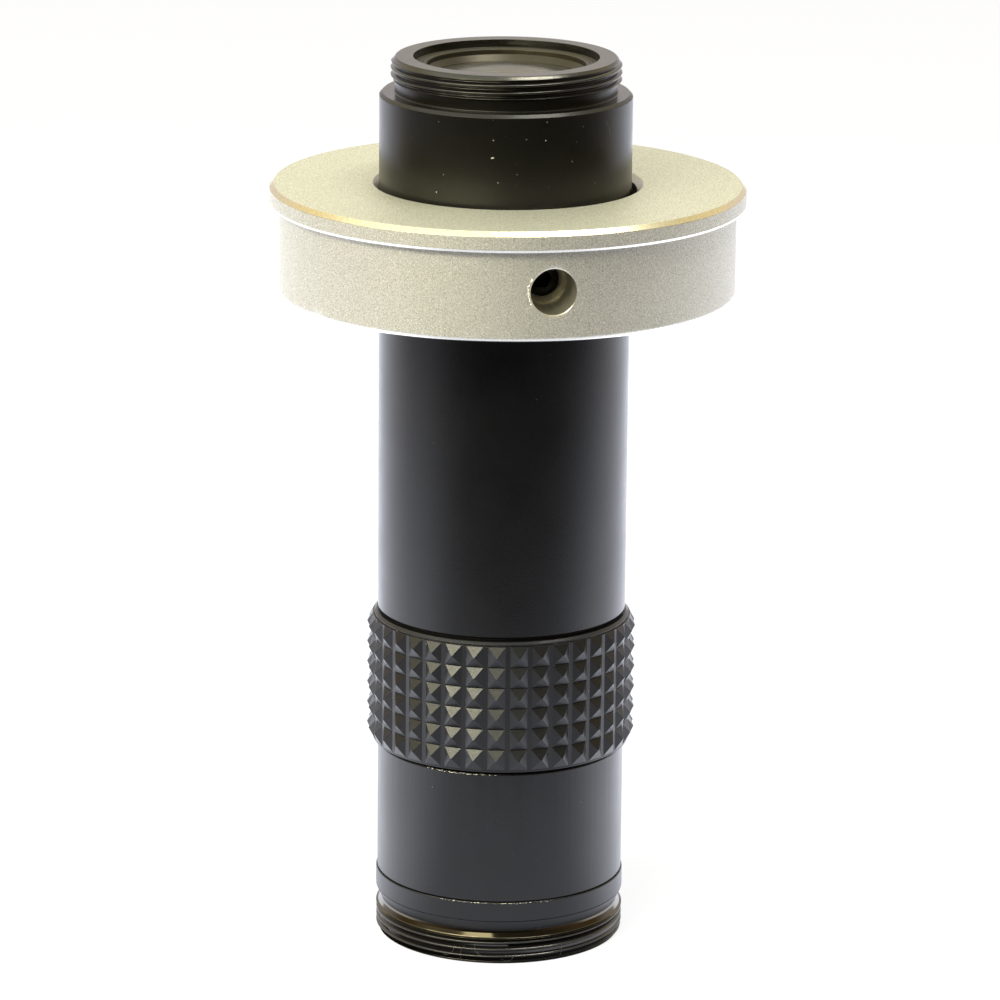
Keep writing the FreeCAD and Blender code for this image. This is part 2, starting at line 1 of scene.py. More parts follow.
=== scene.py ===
import json
import bpy
import numpy as np
from mathutils import Matrix, Vector


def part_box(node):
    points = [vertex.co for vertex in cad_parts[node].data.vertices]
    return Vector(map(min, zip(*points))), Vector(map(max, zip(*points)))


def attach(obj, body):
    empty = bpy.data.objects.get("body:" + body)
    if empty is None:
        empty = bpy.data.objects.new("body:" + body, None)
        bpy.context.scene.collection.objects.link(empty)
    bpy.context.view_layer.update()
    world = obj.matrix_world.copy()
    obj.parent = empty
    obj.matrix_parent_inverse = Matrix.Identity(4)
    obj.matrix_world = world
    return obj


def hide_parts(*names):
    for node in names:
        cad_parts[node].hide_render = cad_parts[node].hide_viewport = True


# Zoom lens with a camera thread, a champagne stand ring and a pyramid-cut zoom ring, dressed on its CAD
# frame. Sizes here are in millimetres in the frame's own axes, and MM turns them into metres.
MM = 0.001

# Camera end: one inch thread, 32 turns to the inch, above a relieved neck
CAMERA_PITCH = 25.4 / 32
CAMERA_THREAD_DEPTH = 0.47
CAMERA_CREST_DROP = 1.02
CAMERA_END_HEIGHT = 3.9
CAMERA_END_CHAMFER = 0.6
CAMERA_NECK_R = 12.1
CAMERA_NECK_HEIGHT = 1.2
RAGGED_TURN = np.radians(14)
RAGGED_REACH = 0.35
RAGGED_DEPTH = 0.07
RUN_OUT_SLOPE = 1.6
SEAT_CHAMFER = 0.35
REAR_SEAT_R = 10.13
REAR_SEAT_DEPTH = 9.5
REAR_TUNNEL_R = 8.9
REAR_TUNNEL_LENGTH = 6.0
ADAPTER_HOLLOW_R = 11.0
SPIGOT_R = 12.4
SPIGOT_LENGTH = 9.0
CREST_WEAR = 0.012
CREST_WEAR_FINE = 0.008

# Objective cell
CELL_PITCH = 0.8
CELL_THREAD_DEPTH = 0.49
CELL_CREST_Z = 2.37
CELL_THREAD_HEIGHT = 2.8
CELL_END_CHAMFER = 0.35
CELL_NECK_R = 13.3
CELL_TAPER_HEIGHT = 1.27
CELL_BAND_HEIGHT = 2.17
CELL_LINE_DEPTH = 0.1
CELL_LINE_HALF = 0.05
CELL_LINE_DROP = 0.03
CELL_LINE_LIP = 0.03
CELL_CREST_WEAR = 0.01
CELL_CREST_WEAR_FINE = 0.008
CELL_SPIGOT_R = 12.6
CELL_SPIGOT_LENGTH = 4.4
CELL_STEP_R = 9.6
CELL_STEP_HEIGHT = 8.9
CELL_BORE_R = 11.2
CELL_MOUTH_R = 12.2
CELL_MOUTH_DEPTH = 1.0

# Zoom ring
GRIP_ROWS = 6
GRIP_COLUMNS = 37
GRIP_ROW_PITCH = 2.35
GRIP_VALLEY_R = 14.36
GRIP_DEPTH = 0.59
GRIP_STRIP = 0.5
GRIP_APEX_FLAT = 0.12
GRIP_PHASE = 3.0
GRIP_LIP_HEIGHT = 0.25
GRIP_LIP_SETBACK = 0.06
GRIP_COLLAR_SETBACK = 0.2
GRIP_COLLAR_CHAMFER = 0.25
GRIP_CORE_SETBACK = 0.1
GRIP_ROOT_SINK = 0.4
GRIP_SLIT = 0.045
GRIP_EDGE_ROUND = 0.03
RING_BORE_R = 12.9
RING_CAP_R = 11.6
RING_CAP_HEIGHT = 0.7

# Front barrel
FRONT_EDGE_ROUND = 0.2
FRONT_GUIDE = (11.42, 14.0)
FRONT_SOCKET = (12.62, 11.6)
FRONT_SHOULDER_R = 10.6
FRONT_DENT_DEPTH = 0.03
FRONT_DENT_REACH = 0.25

# Rear retaining ring
REAR_OPENING_R = 8.0
REAR_LAND_R = 8.65
REAR_LAND_DEPTH = 0.57
REAR_GROOVE_PITCH = 0.36
REAR_GROOVE_DEPTH = 0.06
REAR_GROOVE_ROWS = 60

# Stand ring
STAND_BODY_R = 25.0
STAND_FLANGE_HEIGHT = 2.25
STAND_BORE_R = 14.11
STAND_FLANGE_CHAMFER = 0.5
STAND_UNDER_CHAMFER = (0.2, 0.3)
STAND_BASE_CHAMFER = 0.5
STAND_BASE_SWELL = 0.15
STAND_EDGE_ROUND = 0.5
STAND_BORE_CHAMFER = 0.65
NICK_TURN = -54
NICK_HALF_TURN = 2.2
NICK_RISE = 0.7
NICK_DEPTH = 0.4
NICK_ROUGHNESS = 0.3
NICK_RIPPLES = 9
WALL_ROW_STEP = 0.6
STAND_HOLES = 3
STAND_HOLE_TURN = 11.26
STAND_HOLE_RISE = 5.45
COUNTERBORE_R = 2.5
COUNTERBORE_DEPTH = 5.5
COUNTERBORE_CORNER = 0.12
TAPPED_HOLE_R = 2.0
TAPPED_PITCH = 0.7
TAPPED_DEPTH = 0.2
TAPPED_LEAD_IN = 0.3
HOLE_LIP = 0.18
HOLE_SIDES = 96
BURR_GRAINS = 34
BURR_SPOKES = (145, 212)
BURR_REACH = 0.2
BURR_SIZE = 0.03
BURR_SIZE_SPREAD = 0.09

# Dust and lint: grains by turn from the front and height, hairs by turn, height, radius, length, lean
# and bend
GRAIN_THICKNESS = 0.35
GRAIN_HEIGHT = 0.8
LINT_R = 0.008
LINT_STANDOFF = 0.02
LINT_CURL = 0.03
GRAINS_ON_CAMERA_END = [
    (-31.5, 94.4), (-5.6, 92.8), (9.0, 92.9), (17.8, 92.7), (18.3, 94.7), (-5.7, 90.9), (-6.3, 90.85),
    (-3.4, 88.2), (-32.4, 86.7), (-28.8, 88.7), (5.0, 89.1), (30.8, 90.2),
]
GRAINS_R = 13.82
GRAIN_SIZES = [0.05, 0.07, 0.05, 0.08, 0.06, 0.12, 0.1, 0.06, 0.08, 0.05, 0.04, 0.05]
LINT_ON_THREAD = [
    (-22.8, 1.0, 13.87, 2.2, 40, 2.0), (-17.0, 1.2, 13.87, 1.8, 75, -1.5), (-9.0, 1.3, 13.87, 2.4, -50, 2.2),
    (4.5, 0.5, 13.87, 1.8, 10, 2.5), (30.0, 1.0, 13.87, 1.3, 80, 0.4), (-12.5, 4.4, 13.35, 0.8, 15, 0.8),
    (20.0, 3.9, 13.35, 0.9, 50, 1.2),
]
LINT_ON_CAMERA_END = [(52.5, 93.2, 13.81, 1.9, -65, -0.9), (31.0, 90.2, 13.81, 0.5, -60, 0.5)]
ALL_ROUND = (-180, 180)

# Edges of turned parts, broken by the tool, the blasting and the anodising
EDGE = 0.06
GUARD = 0.03
THREAD_STEP = 0.035
CREST_ROUND = 0.16
CREST_DROP = 0.02

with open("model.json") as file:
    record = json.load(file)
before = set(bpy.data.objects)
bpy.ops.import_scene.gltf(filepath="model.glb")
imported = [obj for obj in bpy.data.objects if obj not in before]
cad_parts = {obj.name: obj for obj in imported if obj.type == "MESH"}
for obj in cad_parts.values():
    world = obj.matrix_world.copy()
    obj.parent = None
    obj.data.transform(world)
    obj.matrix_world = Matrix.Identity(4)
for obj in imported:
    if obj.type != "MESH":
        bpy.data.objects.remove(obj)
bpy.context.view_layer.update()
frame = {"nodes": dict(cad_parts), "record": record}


def corner_of(node):
    """Lowest and highest corner of a CAD node, in millimetres."""
    low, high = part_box(node)
    return np.array(low) / MM, np.array(high) / MM


def frame_radius(mount):
    """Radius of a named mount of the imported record."""
    return next(m["dims"]["r_mm"] for m in frame["record"]["mounts"] if m["name"] == mount)


# Surfaces
def grid_mesh(name, points, finish=None):
    """A closed surface from a grid of points of shape (rows, columns, 3) that wraps both ways. Each quad
    joins (i, j), (i, j + 1), (i + 1, j + 1) and (i + 1, j); finish gives each row's material number."""
    rows, columns = points.shape[:2]
    index = np.arange(rows * columns).reshape(rows, columns)
    right = np.roll(index, -1, axis=1)
    corners = np.stack([index, right, np.roll(right, -1, axis=0), np.roll(index, -1, axis=0)], axis=-1)
    mesh = bpy.data.meshes.new(name)
    mesh.vertices.add(rows * columns)
    mesh.vertices.foreach_set("co", (points * MM).astype(np.float32).ravel())
    mesh.loops.add(rows * columns * 4)
    mesh.loops.foreach_set("vertex_index", corners.ravel().astype(np.int32))
    mesh.polygons.add(rows * columns)
    mesh.polygons.foreach_set("loop_start", np.arange(rows * columns, dtype=np.int32) * 4)
    mesh.polygons.foreach_set("use_smooth", np.ones(rows * columns, dtype=bool))
    if finish is not None:
        mesh.polygons.foreach_set("material_index", np.repeat(finish, columns).astype(np.int32))
    mesh.update(calc_edges=True)
    mesh.validate()
    return mesh


def mesh_of(name, points, faces):
    """A mesh through points in millimetres, with the given faces."""
    mesh = bpy.data.meshes.new(name)
    mesh.from_pydata(np.array(points) * MM, [], faces)
    mesh.update()
    return mesh


def piece(name, data, *finishes):
    """An object at the origin that shows a mesh in the named finishes, or a lamp or a camera."""
    thing = bpy.data.objects.new(name, data)
    bpy.context.scene.collection.objects.link(thing)
    for finish in finishes:
        data.materials.append(MATERIALS[finish])
    return thing


def rounded(corners, steps=4):
    """Outline through corners of (radius, height, edge radius, finish), with each corner turned on an arc.
    The arc touches both sides at edge radius / tan(half the corner's angle) from the corner, and its
    points follow from turning one end's spoke towards the other's. A guard point stands off each end,
    so that smooth shading stays on the arc. Returns the points and the finish of the strip after each."""
    points = []
    finish = []
    at = np.array([c[:2] for c in corners], float)
    for k, (_, _, edge_r, mark) in enumerate(corners):
        here = at[k]
        back = at[k - 1] - here
        ahead = at[(k + 1) % len(at)] - here
        back_length = np.linalg.norm(back)
        ahead_length = np.linalg.norm(ahead)
        back = back / back_length
        ahead = ahead / ahead_length
        half = np.arccos(np.clip(back @ ahead, -1, 1)) / 2
        tangent = min(edge_r / np.tan(half), 0.45 * min(back_length, ahead_length))
        middle = here + (back + ahead) / np.linalg.norm(back + ahead) * tangent / np.cos(half)
        first = here + back * tangent - middle
        last = here + ahead * tangent - middle
        sweep = np.pi - 2 * half
        share = np.linspace(0, 1, steps + 1)[:, None]
        arc = middle + (np.sin((1 - share) * sweep) * first + np.sin(share * sweep) * last) / np.sin(sweep)
        guard = min(GUARD, 0.3 * (min(back_length, ahead_length) - tangent))
        points.append(np.vstack([here + back * (tangent + guard), arc, here + ahead * (tangent + guard)]))
        finish += [corners[k - 1][3]] + [mark] * (steps + 2)
    return np.vstack(points), np.array(finish)


def wall_rows(outline, finish, start, end, step):
    """Adds points along the outline's side from start to end, about one every step, for a thread or a
    dent."""
    count = max(int(round(abs(end[1] - start[1]) / step)), 1)
    share = np.linspace(0, 1, count + 1)[1:-1, None]
    extra = np.array(start) + share * (np.array(end) - np.array(start))
    after = int(np.argmin(np.linalg.norm(outline - np.array(start), axis=1)))
    outline = np.insert(outline, after + 1, extra, axis=0)
    finish = np.insert(finish, after + 1, np.repeat(finish[after], len(extra)))
    return outline, finish


def turned(outline, columns, reshape=None, centre_x=0.0):
    """Grid of points turned about the optical axis: the outline's radius and height at each row, and the
    angle 2 pi j / columns at column j. reshape(radius, height, angle) may change each radius."""
    angle = np.broadcast_to(2 * np.pi * np.arange(columns) / columns, (len(outline), columns))
    radius = np.broadcast_to(outline[:, :1], angle.shape)
    height = np.broadcast_to(outline[:, 1:], angle.shape)
    if reshape is not None:
        radius = reshape(radius, height, angle)
    return np.stack([centre_x + radius * np.cos(angle), radius * np.sin(angle), height], axis=-1)


def thread_r(height, angle, crest_r, depth, pitch, crest_z):
    """Radius of a right-handed thread. The height left after the helix's rise, pitch * angle / 2 pi, gives
    the distance from the nearest crest. The radius falls from it on a hyperbola, round at the crest as
    tumbling and wear leave it, that nears a 60 degree flank and stops at the root."""
    turns = (height - crest_z) / pitch - (angle + np.pi / 2) / (2 * np.pi)
    away = np.abs(turns - np.round(turns)) * pitch / np.tan(np.pi / 6)
    fall = np.hypot(away, CREST_ROUND) - CREST_ROUND
    return crest_r - np.minimum(fall, depth)


def wander(angle, seed, waves=5):
    """A small smooth irregularity round a turn: the mean of a few sines with seeded phases."""
    rng = np.random.default_rng(seed)
    counts = rng.integers(3, 60, waves)
    phases = rng.uniform(0, 2 * np.pi, waves)
    return sum(np.sin(count * angle + phase) for count, phase in zip(counts, phases)) / waves


def camera_end():
    """The adapter's surface: the CAD outline with a cut thread that runs out into the neck below."""
    low, high = corner_of("c_mount_adapter")
    adapter_r = high[0]
    top_z = high[2]
    seat_z = top_z - CAMERA_END_HEIGHT
    thread_top_r = frame_radius("camera_thread")
    neck_z = seat_z + CAMERA_NECK_HEIGHT
    joint_z = low[2] + SPIGOT_LENGTH
    rear_z = top_z - REAR_SEAT_DEPTH
    tunnel_z = rear_z - REAR_TUNNEL_LENGTH
    rim_r = thread_top_r - CAMERA_END_CHAMFER
    outline, finish = rounded([
        (ADAPTER_HOLLOW_R, low[2], EDGE, 0), (SPIGOT_R, low[2], EDGE, 0), (SPIGOT_R, joint_z, EDGE, 0),
        (adapter_r, joint_z, EDGE, 0), (adapter_r, seat_z - SEAT_CHAMFER, EDGE, 0),
        (adapter_r - SEAT_CHAMFER, seat_z, EDGE, 1), (CAMERA_NECK_R, seat_z, 2 * EDGE, 0),
        (CAMERA_NECK_R, neck_z, EDGE / 2, 1), (rim_r, top_z, EDGE, 3), (REAR_SEAT_R, top_z, EDGE, 1),
        (REAR_SEAT_R, rear_z, EDGE, 1), (REAR_TUNNEL_R, rear_z, EDGE, 0),
        (REAR_TUNNEL_R, tunnel_z, EDGE, 0), (ADAPTER_HOLLOW_R, tunnel_z, EDGE, 0),
    ])
    outline, finish = wall_rows(outline, finish, (CAMERA_NECK_R, neck_z + GUARD),
                                (rim_r + GUARD, top_z - GUARD), THREAD_STEP)

    def cut_thread(radius, height, angle):
        """On the outer wall above the neck, the thread's radius held under the end chamfer and above the
        neck, with crests that a little wear makes uneven."""
        worn = CREST_WEAR * wander(angle, 3) + CREST_WEAR_FINE * wander(angle * 2, 8)
        beside = np.mod(angle + np.pi / 2 - RAGGED_TURN + np.pi, 2 * np.pi) - np.pi
        worn = worn - RAGGED_DEPTH * np.exp(-(beside / RAGGED_REACH) ** 2) * np.abs(wander(angle * 7, 12, 7))
        cut = thread_r(height, angle, thread_top_r, CAMERA_THREAD_DEPTH, CAMERA_PITCH,
                       top_z - CAMERA_CREST_DROP)
        cut = np.minimum(cut, thread_top_r - CREST_DROP + worn)
        cut = np.minimum(cut, CAMERA_NECK_R + (height - neck_z) * RUN_OUT_SLOPE)
        cut = np.maximum(cut, CAMERA_NECK_R)
        cut = np.minimum(cut, rim_r + (top_z - height))
        outer = (radius > REAR_SEAT_R + 1) & (height > neck_z) & (height < top_z - GUARD)
        return np.where(outer, cut, radius)

    chamfer = (outline[:, 1] > top_z - CAMERA_END_CHAMFER) & (outline[:, 0] > rim_r - GUARD)
    finish = np.where(chamfer, 2, finish)
    mesh = grid_mesh("camera_end", turned(outline, 512, cut_thread), finish)
    thing = piece("camera_end", mesh, "camera_end_black", "turned_black", "chamfer_black", "rim_black")
    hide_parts("c_mount_adapter")
    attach(thing, "barrel")


def objective():
    """The objective cell's surface: the CAD outline with its outer thread. The neck's groove is a shelf, a
    cone and a wall, blended by arcs, and a fine V-shaped line parts the taper from the band above."""
    low, high = corner_of("objective_cell")
    cell_r = high[0]
    seam_z = high[2] - CELL_SPIGOT_LENGTH
    band_z = seam_z - CELL_BAND_HEIGHT
    taper_z = band_z - CELL_TAPER_HEIGHT
    rim_r = cell_r - CELL_END_CHAMFER
    depth = cell_r - CELL_NECK_R
    rise = taper_z - CELL_THREAD_HEIGHT
    shelf = (cell_r - 0.45 * depth, CELL_THREAD_HEIGHT + 0.1 * rise, 0.2, 2)
    cone = (CELL_NECK_R + 0.1 * depth, CELL_THREAD_HEIGHT + 0.7 * rise, 0.3, 2)
    line_z = band_z - CELL_LINE_DROP
    line = [(cell_r - CELL_LINE_LIP, line_z - CELL_LINE_HALF, EDGE / 6, 0),
            (cell_r - CELL_LINE_DEPTH, line_z, EDGE / 6, 0), (cell_r, line_z + CELL_LINE_HALF, EDGE / 6, 0)]
    outline, finish = rounded([
        (CELL_MOUTH_R, 0, EDGE, 0), (rim_r, 0, EDGE, 1), (cell_r, CELL_THREAD_HEIGHT, EDGE / 3, 2),
        shelf, cone, (CELL_NECK_R, taper_z, EDGE / 2, 0), *line, (cell_r, seam_z, 2 * EDGE, 0),
        (CELL_SPIGOT_R, seam_z, EDGE, 0), (CELL_SPIGOT_R, high[2], EDGE, 0), (CELL_STEP_R, high[2], EDGE, 0),
        (CELL_STEP_R, CELL_STEP_HEIGHT, EDGE, 0), (CELL_BORE_R, CELL_STEP_HEIGHT, EDGE, 0),
        (CELL_BORE_R, CELL_MOUTH_DEPTH, EDGE, 0), (CELL_MOUTH_R, CELL_MOUTH_DEPTH, EDGE, 0),
    ])
    outline, finish = wall_rows(outline, finish, (rim_r, GUARD), (cell_r, CELL_THREAD_HEIGHT - GUARD),
                                THREAD_STEP)

    def cut_thread(radius, height, angle):
        """Below the neck, the thread's radius held inside the end chamfer and the last flank."""
        worn = CELL_CREST_WEAR * wander(angle, 5) + CELL_CREST_WEAR_FINE * wander(angle * 2, 6)
        cut = thread_r(height, angle, cell_r, CELL_THREAD_DEPTH, CELL_PITCH, CELL_CREST_Z)
        cut = np.minimum(cut, cell_r - CREST_DROP + worn)
        cut = np.minimum(cut, rim_r + height)
        within = (height > GUARD / 2) & (height < CELL_THREAD_HEIGHT - GUARD / 2)
        return np.where((radius > CELL_MOUTH_R + 0.5) & within, cut, radius)

    mesh = grid_mesh("objective_shell", turned(outline, 448, cut_thread), finish)
    thing = piece("objective_shell", mesh, "cell_black", "turned_black", "groove_black")
    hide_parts("objective_cell")
    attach(thing, "barrel")


def front_tube():
    """The front barrel: the CAD outline with its outer edges rounded by blasting and wear."""
    low, high = corner_of("front_barrel")
    outer_r = high[0]
    guide_r, guide_z = FRONT_GUIDE
    socket_r, socket_z = FRONT_SOCKET
    outline, finish = rounded([
        (socket_r, low[2], EDGE, 0), (outer_r, low[2], FRONT_EDGE_ROUND, 0),
        (outer_r, high[2], FRONT_EDGE_ROUND, 0), (guide_r, high[2], EDGE, 0), (guide_r, guide_z, EDGE, 0),
        (FRONT_SHOULDER_R, guide_z, EDGE, 0), (FRONT_SHOULDER_R, socket_z, EDGE, 0),
        (socket_r, socket_z, EDGE, 0),
    ], steps=6)

    def edge_wear(radius, height, angle):
        """Near the top edge the radius falls in short dents that wander round the turn."""
        near = np.clip(1 - np.abs(height - high[2] + 0.1) / FRONT_DENT_REACH, 0, 1)
        near = near * (radius > outer_r - 0.3)
        return radius - FRONT_DENT_DEPTH * near * np.abs(wander(angle * 5, 21, 7))

    mesh = grid_mesh("front_tube", turned(outline, 512, edge_wear), finish)
    thing = piece("front_tube", mesh, "barrel_black")
    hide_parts("front_barrel")
    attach(thing, "barrel")


def rear_ring():
    """The rear retaining ring: the CAD outline with fine turned grooves on its top land, each a ring whose
    depth follows a raised cosine across the land."""
    low, high = corner_of("rear_retaining_ring")
    outline, finish = rounded([
        (REAR_OPENING_R, low[2], EDGE / 2, 0), (high[0], low[2], EDGE / 2, 0), (high[0], high[2], EDGE, 0),
        (REAR_LAND_R, high[2], 2 * EDGE, 0), (REAR_LAND_R, high[2] - REAR_LAND_DEPTH, EDGE / 2, 0),
    ])
    land = np.linspace(high[0] - 2 * EDGE, REAR_LAND_R + 3 * EDGE, REAR_GROOVE_ROWS)
    groove = 0.5 - 0.5 * np.cos(2 * np.pi * (high[0] - land) / REAR_GROOVE_PITCH)
    rows = np.stack([land, high[2] - REAR_GROOVE_DEPTH * groove], axis=-1)
    after = int(np.argmin(np.linalg.norm(outline - np.array([high[0] - 0.1, high[2]]), axis=1)))
    outline = np.insert(outline, after + 1, rows, axis=0)
    finish = np.insert(finish, after + 1, np.zeros(len(rows), int))
    mesh = grid_mesh("rear_ring", turned(outline, 384), finish)
    thing = piece("rear_ring", mesh, "inner_olive")
    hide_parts("rear_retaining_ring")
    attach(thing, "barrel")


def pyramid_band(low_z):
    """The cut band of the zoom ring. Valley points stand on the valley radius at both edges of every flat
    strip, and two points close together on the peak radius make each pyramid's short ridge. Each cell is
    two sloped facets above and below, two triangles at its sides and a strip to the next cell. The cutter's
    tip leaves a narrow slit between the rows, so every inner level is a pair of circles with a deeper one
    between them."""
    peak_r = GRIP_VALLEY_R + GRIP_DEPTH
    step = 2 * np.pi / GRIP_COLUMNS
    groove = np.radians(GRIP_PHASE - 90) + step * np.arange(GRIP_COLUMNS)
    strip_turn = np.arcsin(GRIP_STRIP / 2 / GRIP_VALLEY_R)
    flat_turn = GRIP_APEX_FLAT / 2 / peak_r
    sides = np.stack([groove + strip_turn, groove + step - strip_turn], axis=-1)
    ridge = np.stack([groove + step / 2 - flat_turn, groove + step / 2 + flat_turn], axis=-1)
    count = 2 * GRIP_COLUMNS
    start = 2 * np.arange(GRIP_COLUMNS)
    near = start + 1
    beyond = (start + 2) % count
    points = []
    faces = []

    def circle(turns, radius, height):
        """Adds a pair of points for each column on one circle and returns the number of the first."""
        first = sum(len(p) for p in points)
        flat = np.full(turns.shape, height)
        points.append(np.stack([radius * np.cos(turns), radius * np.sin(turns), flat], -1).reshape(-1, 3))
        return first

    def quads(*corners):
        """Adds one face per column through the given corners."""
        faces.extend(np.stack(corners, -1).tolist())

    row_low = low_z + GRIP_ROW_PITCH * np.arange(GRIP_ROWS)
    for row, height in enumerate(row_low):
        foot = circle(sides, GRIP_VALLEY_R, height + (GRIP_SLIT if row else 0))
        peak = circle(ridge, peak_r, height + GRIP_ROW_PITCH / 2)
        top = height + GRIP_ROW_PITCH
        head = circle(sides, GRIP_VALLEY_R, top - (GRIP_SLIT if row < GRIP_ROWS - 1 else 0))
        quads(foot + start, foot + near, peak + near, peak + start)
        quads(peak + start, peak + near, head + near, head + start)
        quads(foot + start, peak + start, head + start)
        quads(foot + near, head + near, peak + near)
        quads(foot + near, foot + beyond, head + beyond, head + near)
        if row:
            slit = circle(sides, GRIP_VALLEY_R - 2 * GRIP_SLIT, height)
            quads(last + start, last + near, slit + near, slit + start)
            quads(slit + start, slit + near, foot + near, foot + start)
            quads(last + start, slit + start, foot + start)
            quads(last + near, foot + near, slit + near)
            quads(last + near, last + beyond, foot + beyond, foot + near)
        else:
            first = foot
        last = head
    under = circle(sides, GRIP_VALLEY_R - GRIP_ROOT_SINK, row_low[0])
    over = circle(sides, GRIP_VALLEY_R - GRIP_ROOT_SINK, row_low[-1] + GRIP_ROW_PITCH)
    every = np.arange(count)
    following = (every + 1) % count
    quads(first + every, under + every, under + following, first + following)
    quads(under + every, over + every, over + following, under + following)
    quads(over + every, last + every, last + following, over + following)
    return np.concatenate(points), faces


def zoom_grip():
    """The zoom ring: a turned core with its lip, collar and cap, and the band of pyramids round it."""
    low, high = corner_of("zoom_ring")
    grip_low = low[2] + GRIP_LIP_HEIGHT
    grip_high = grip_low + GRIP_ROWS * GRIP_ROW_PITCH
    lip_r = GRIP_VALLEY_R - GRIP_LIP_SETBACK
    core_r = lip_r - GRIP_CORE_SETBACK
    collar_r = GRIP_VALLEY_R - GRIP_COLLAR_SETBACK
    cap_low = high[2] - RING_CAP_HEIGHT
    outline, finish = rounded([
        (RING_BORE_R, low[2], EDGE, 0), (lip_r, low[2], EDGE, 0), (lip_r, grip_low, EDGE / 4, 0),
        (core_r, grip_low, EDGE / 4, 0), (core_r, grip_high, EDGE / 4, 0),
        (collar_r, grip_high, EDGE / 4, 0), (collar_r, high[2] - GRIP_COLLAR_CHAMFER, EDGE, 0),
        (collar_r - GRIP_COLLAR_CHAMFER, high[2], EDGE, 0), (RING_CAP_R, high[2], EDGE, 0),
        (RING_CAP_R, cap_low, EDGE, 0), (RING_BORE_R, cap_low, EDGE, 0),
    ])
    mesh = grid_mesh("zoom_ring_core", turned(outline, 296), finish)
    core = piece("zoom_ring_core", mesh, "grip_black")
    mesh = mesh_of("zoom_ring_pyramids", *pyramid_band(grip_low))
    band = piece("zoom_ring_pyramids", mesh, "grip_black")
    bevel = band.modifiers.new("cutter radius", "BEVEL")
    bevel.width = GRIP_EDGE_ROUND * MM
    bevel.segments = 2
    bevel.limit_method = "ANGLE"
    bevel.angle_limit = np.radians(12)
    bevel.harden_normals = True
    mesh.polygons.foreach_set("use_smooth", np.ones(len(mesh.polygons), dtype=bool))
    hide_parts("zoom_ring")
    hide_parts("zoom_ring")
    for thing in (core, band):
        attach(thing, "zoom_grip")


def hole_cutter(turn, centre_x, height, outer_r):
    """Closed cutter for one radial hole: a wide counterbore, then a tapped hole whose wall is a row of
    shallow rings one pitch apart. Its outline is turned about Z between two flat ends, laid along the
    hole's direction and moved there."""
    floor_r = STAND_BODY_R - COUNTERBORE_DEPTH
    start_r = STAND_BORE_R - 2
    pitches = np.arange(int((floor_r - start_r) / TAPPED_PITCH) - 1)
    crests = np.stack([np.full(len(pitches), TAPPED_HOLE_R), start_r + (pitches + 1) * TAPPED_PITCH], -1)
    roots = crests + np.array([-TAPPED_DEPTH, TAPPED_PITCH / 2])
    lip_r = COUNTERBORE_R + HOLE_LIP
    wall = np.vstack([
        [(TAPPED_HOLE_R, start_r)], np.stack([crests, roots], 1).reshape(-1, 2),
        [(TAPPED_HOLE_R, floor_r - TAPPED_LEAD_IN), (TAPPED_HOLE_R + TAPPED_LEAD_IN, floor_r),
         (COUNTERBORE_R - COUNTERBORE_CORNER, floor_r), (COUNTERBORE_R, floor_r + COUNTERBORE_CORNER),
         (COUNTERBORE_R, STAND_BODY_R - 0.1), (lip_r, STAND_BODY_R + 0.02), (lip_r, outer_r + 2)],
    ])
    index = np.arange(len(wall) * HOLE_SIDES).reshape(-1, HOLE_SIDES)
    beside = np.roll(index, -1, axis=1)
    faces = np.stack([index[:-1], beside[:-1], beside[1:], index[1:]], -1).reshape(-1, 4).tolist()
    faces += [index[0][::-1].tolist(), index[-1].tolist()]
    mesh = mesh_of("hole_cutter", turned(wall, HOLE_SIDES).reshape(-1, 3), faces)
    along = Matrix.Rotation(np.radians(90), 4, "Y")
    about = Matrix.Rotation(np.radians(turn), 4, "Z")
    mesh.transform(Matrix.Translation(Vector((centre_x * MM, 0, height * MM))) @ about @ along)
    mesh.update()
    strip = np.repeat(np.arange(len(wall) - 1), HOLE_SIDES)
    marks = np.append(np.where(strip == len(wall) - 3, 1, 0), [0, 0])
    mesh.polygons.foreach_set("material_index", marks.astype(np.int32))
    return piece("hole_cutter", mesh, "hole_champagne", "bare_metal")


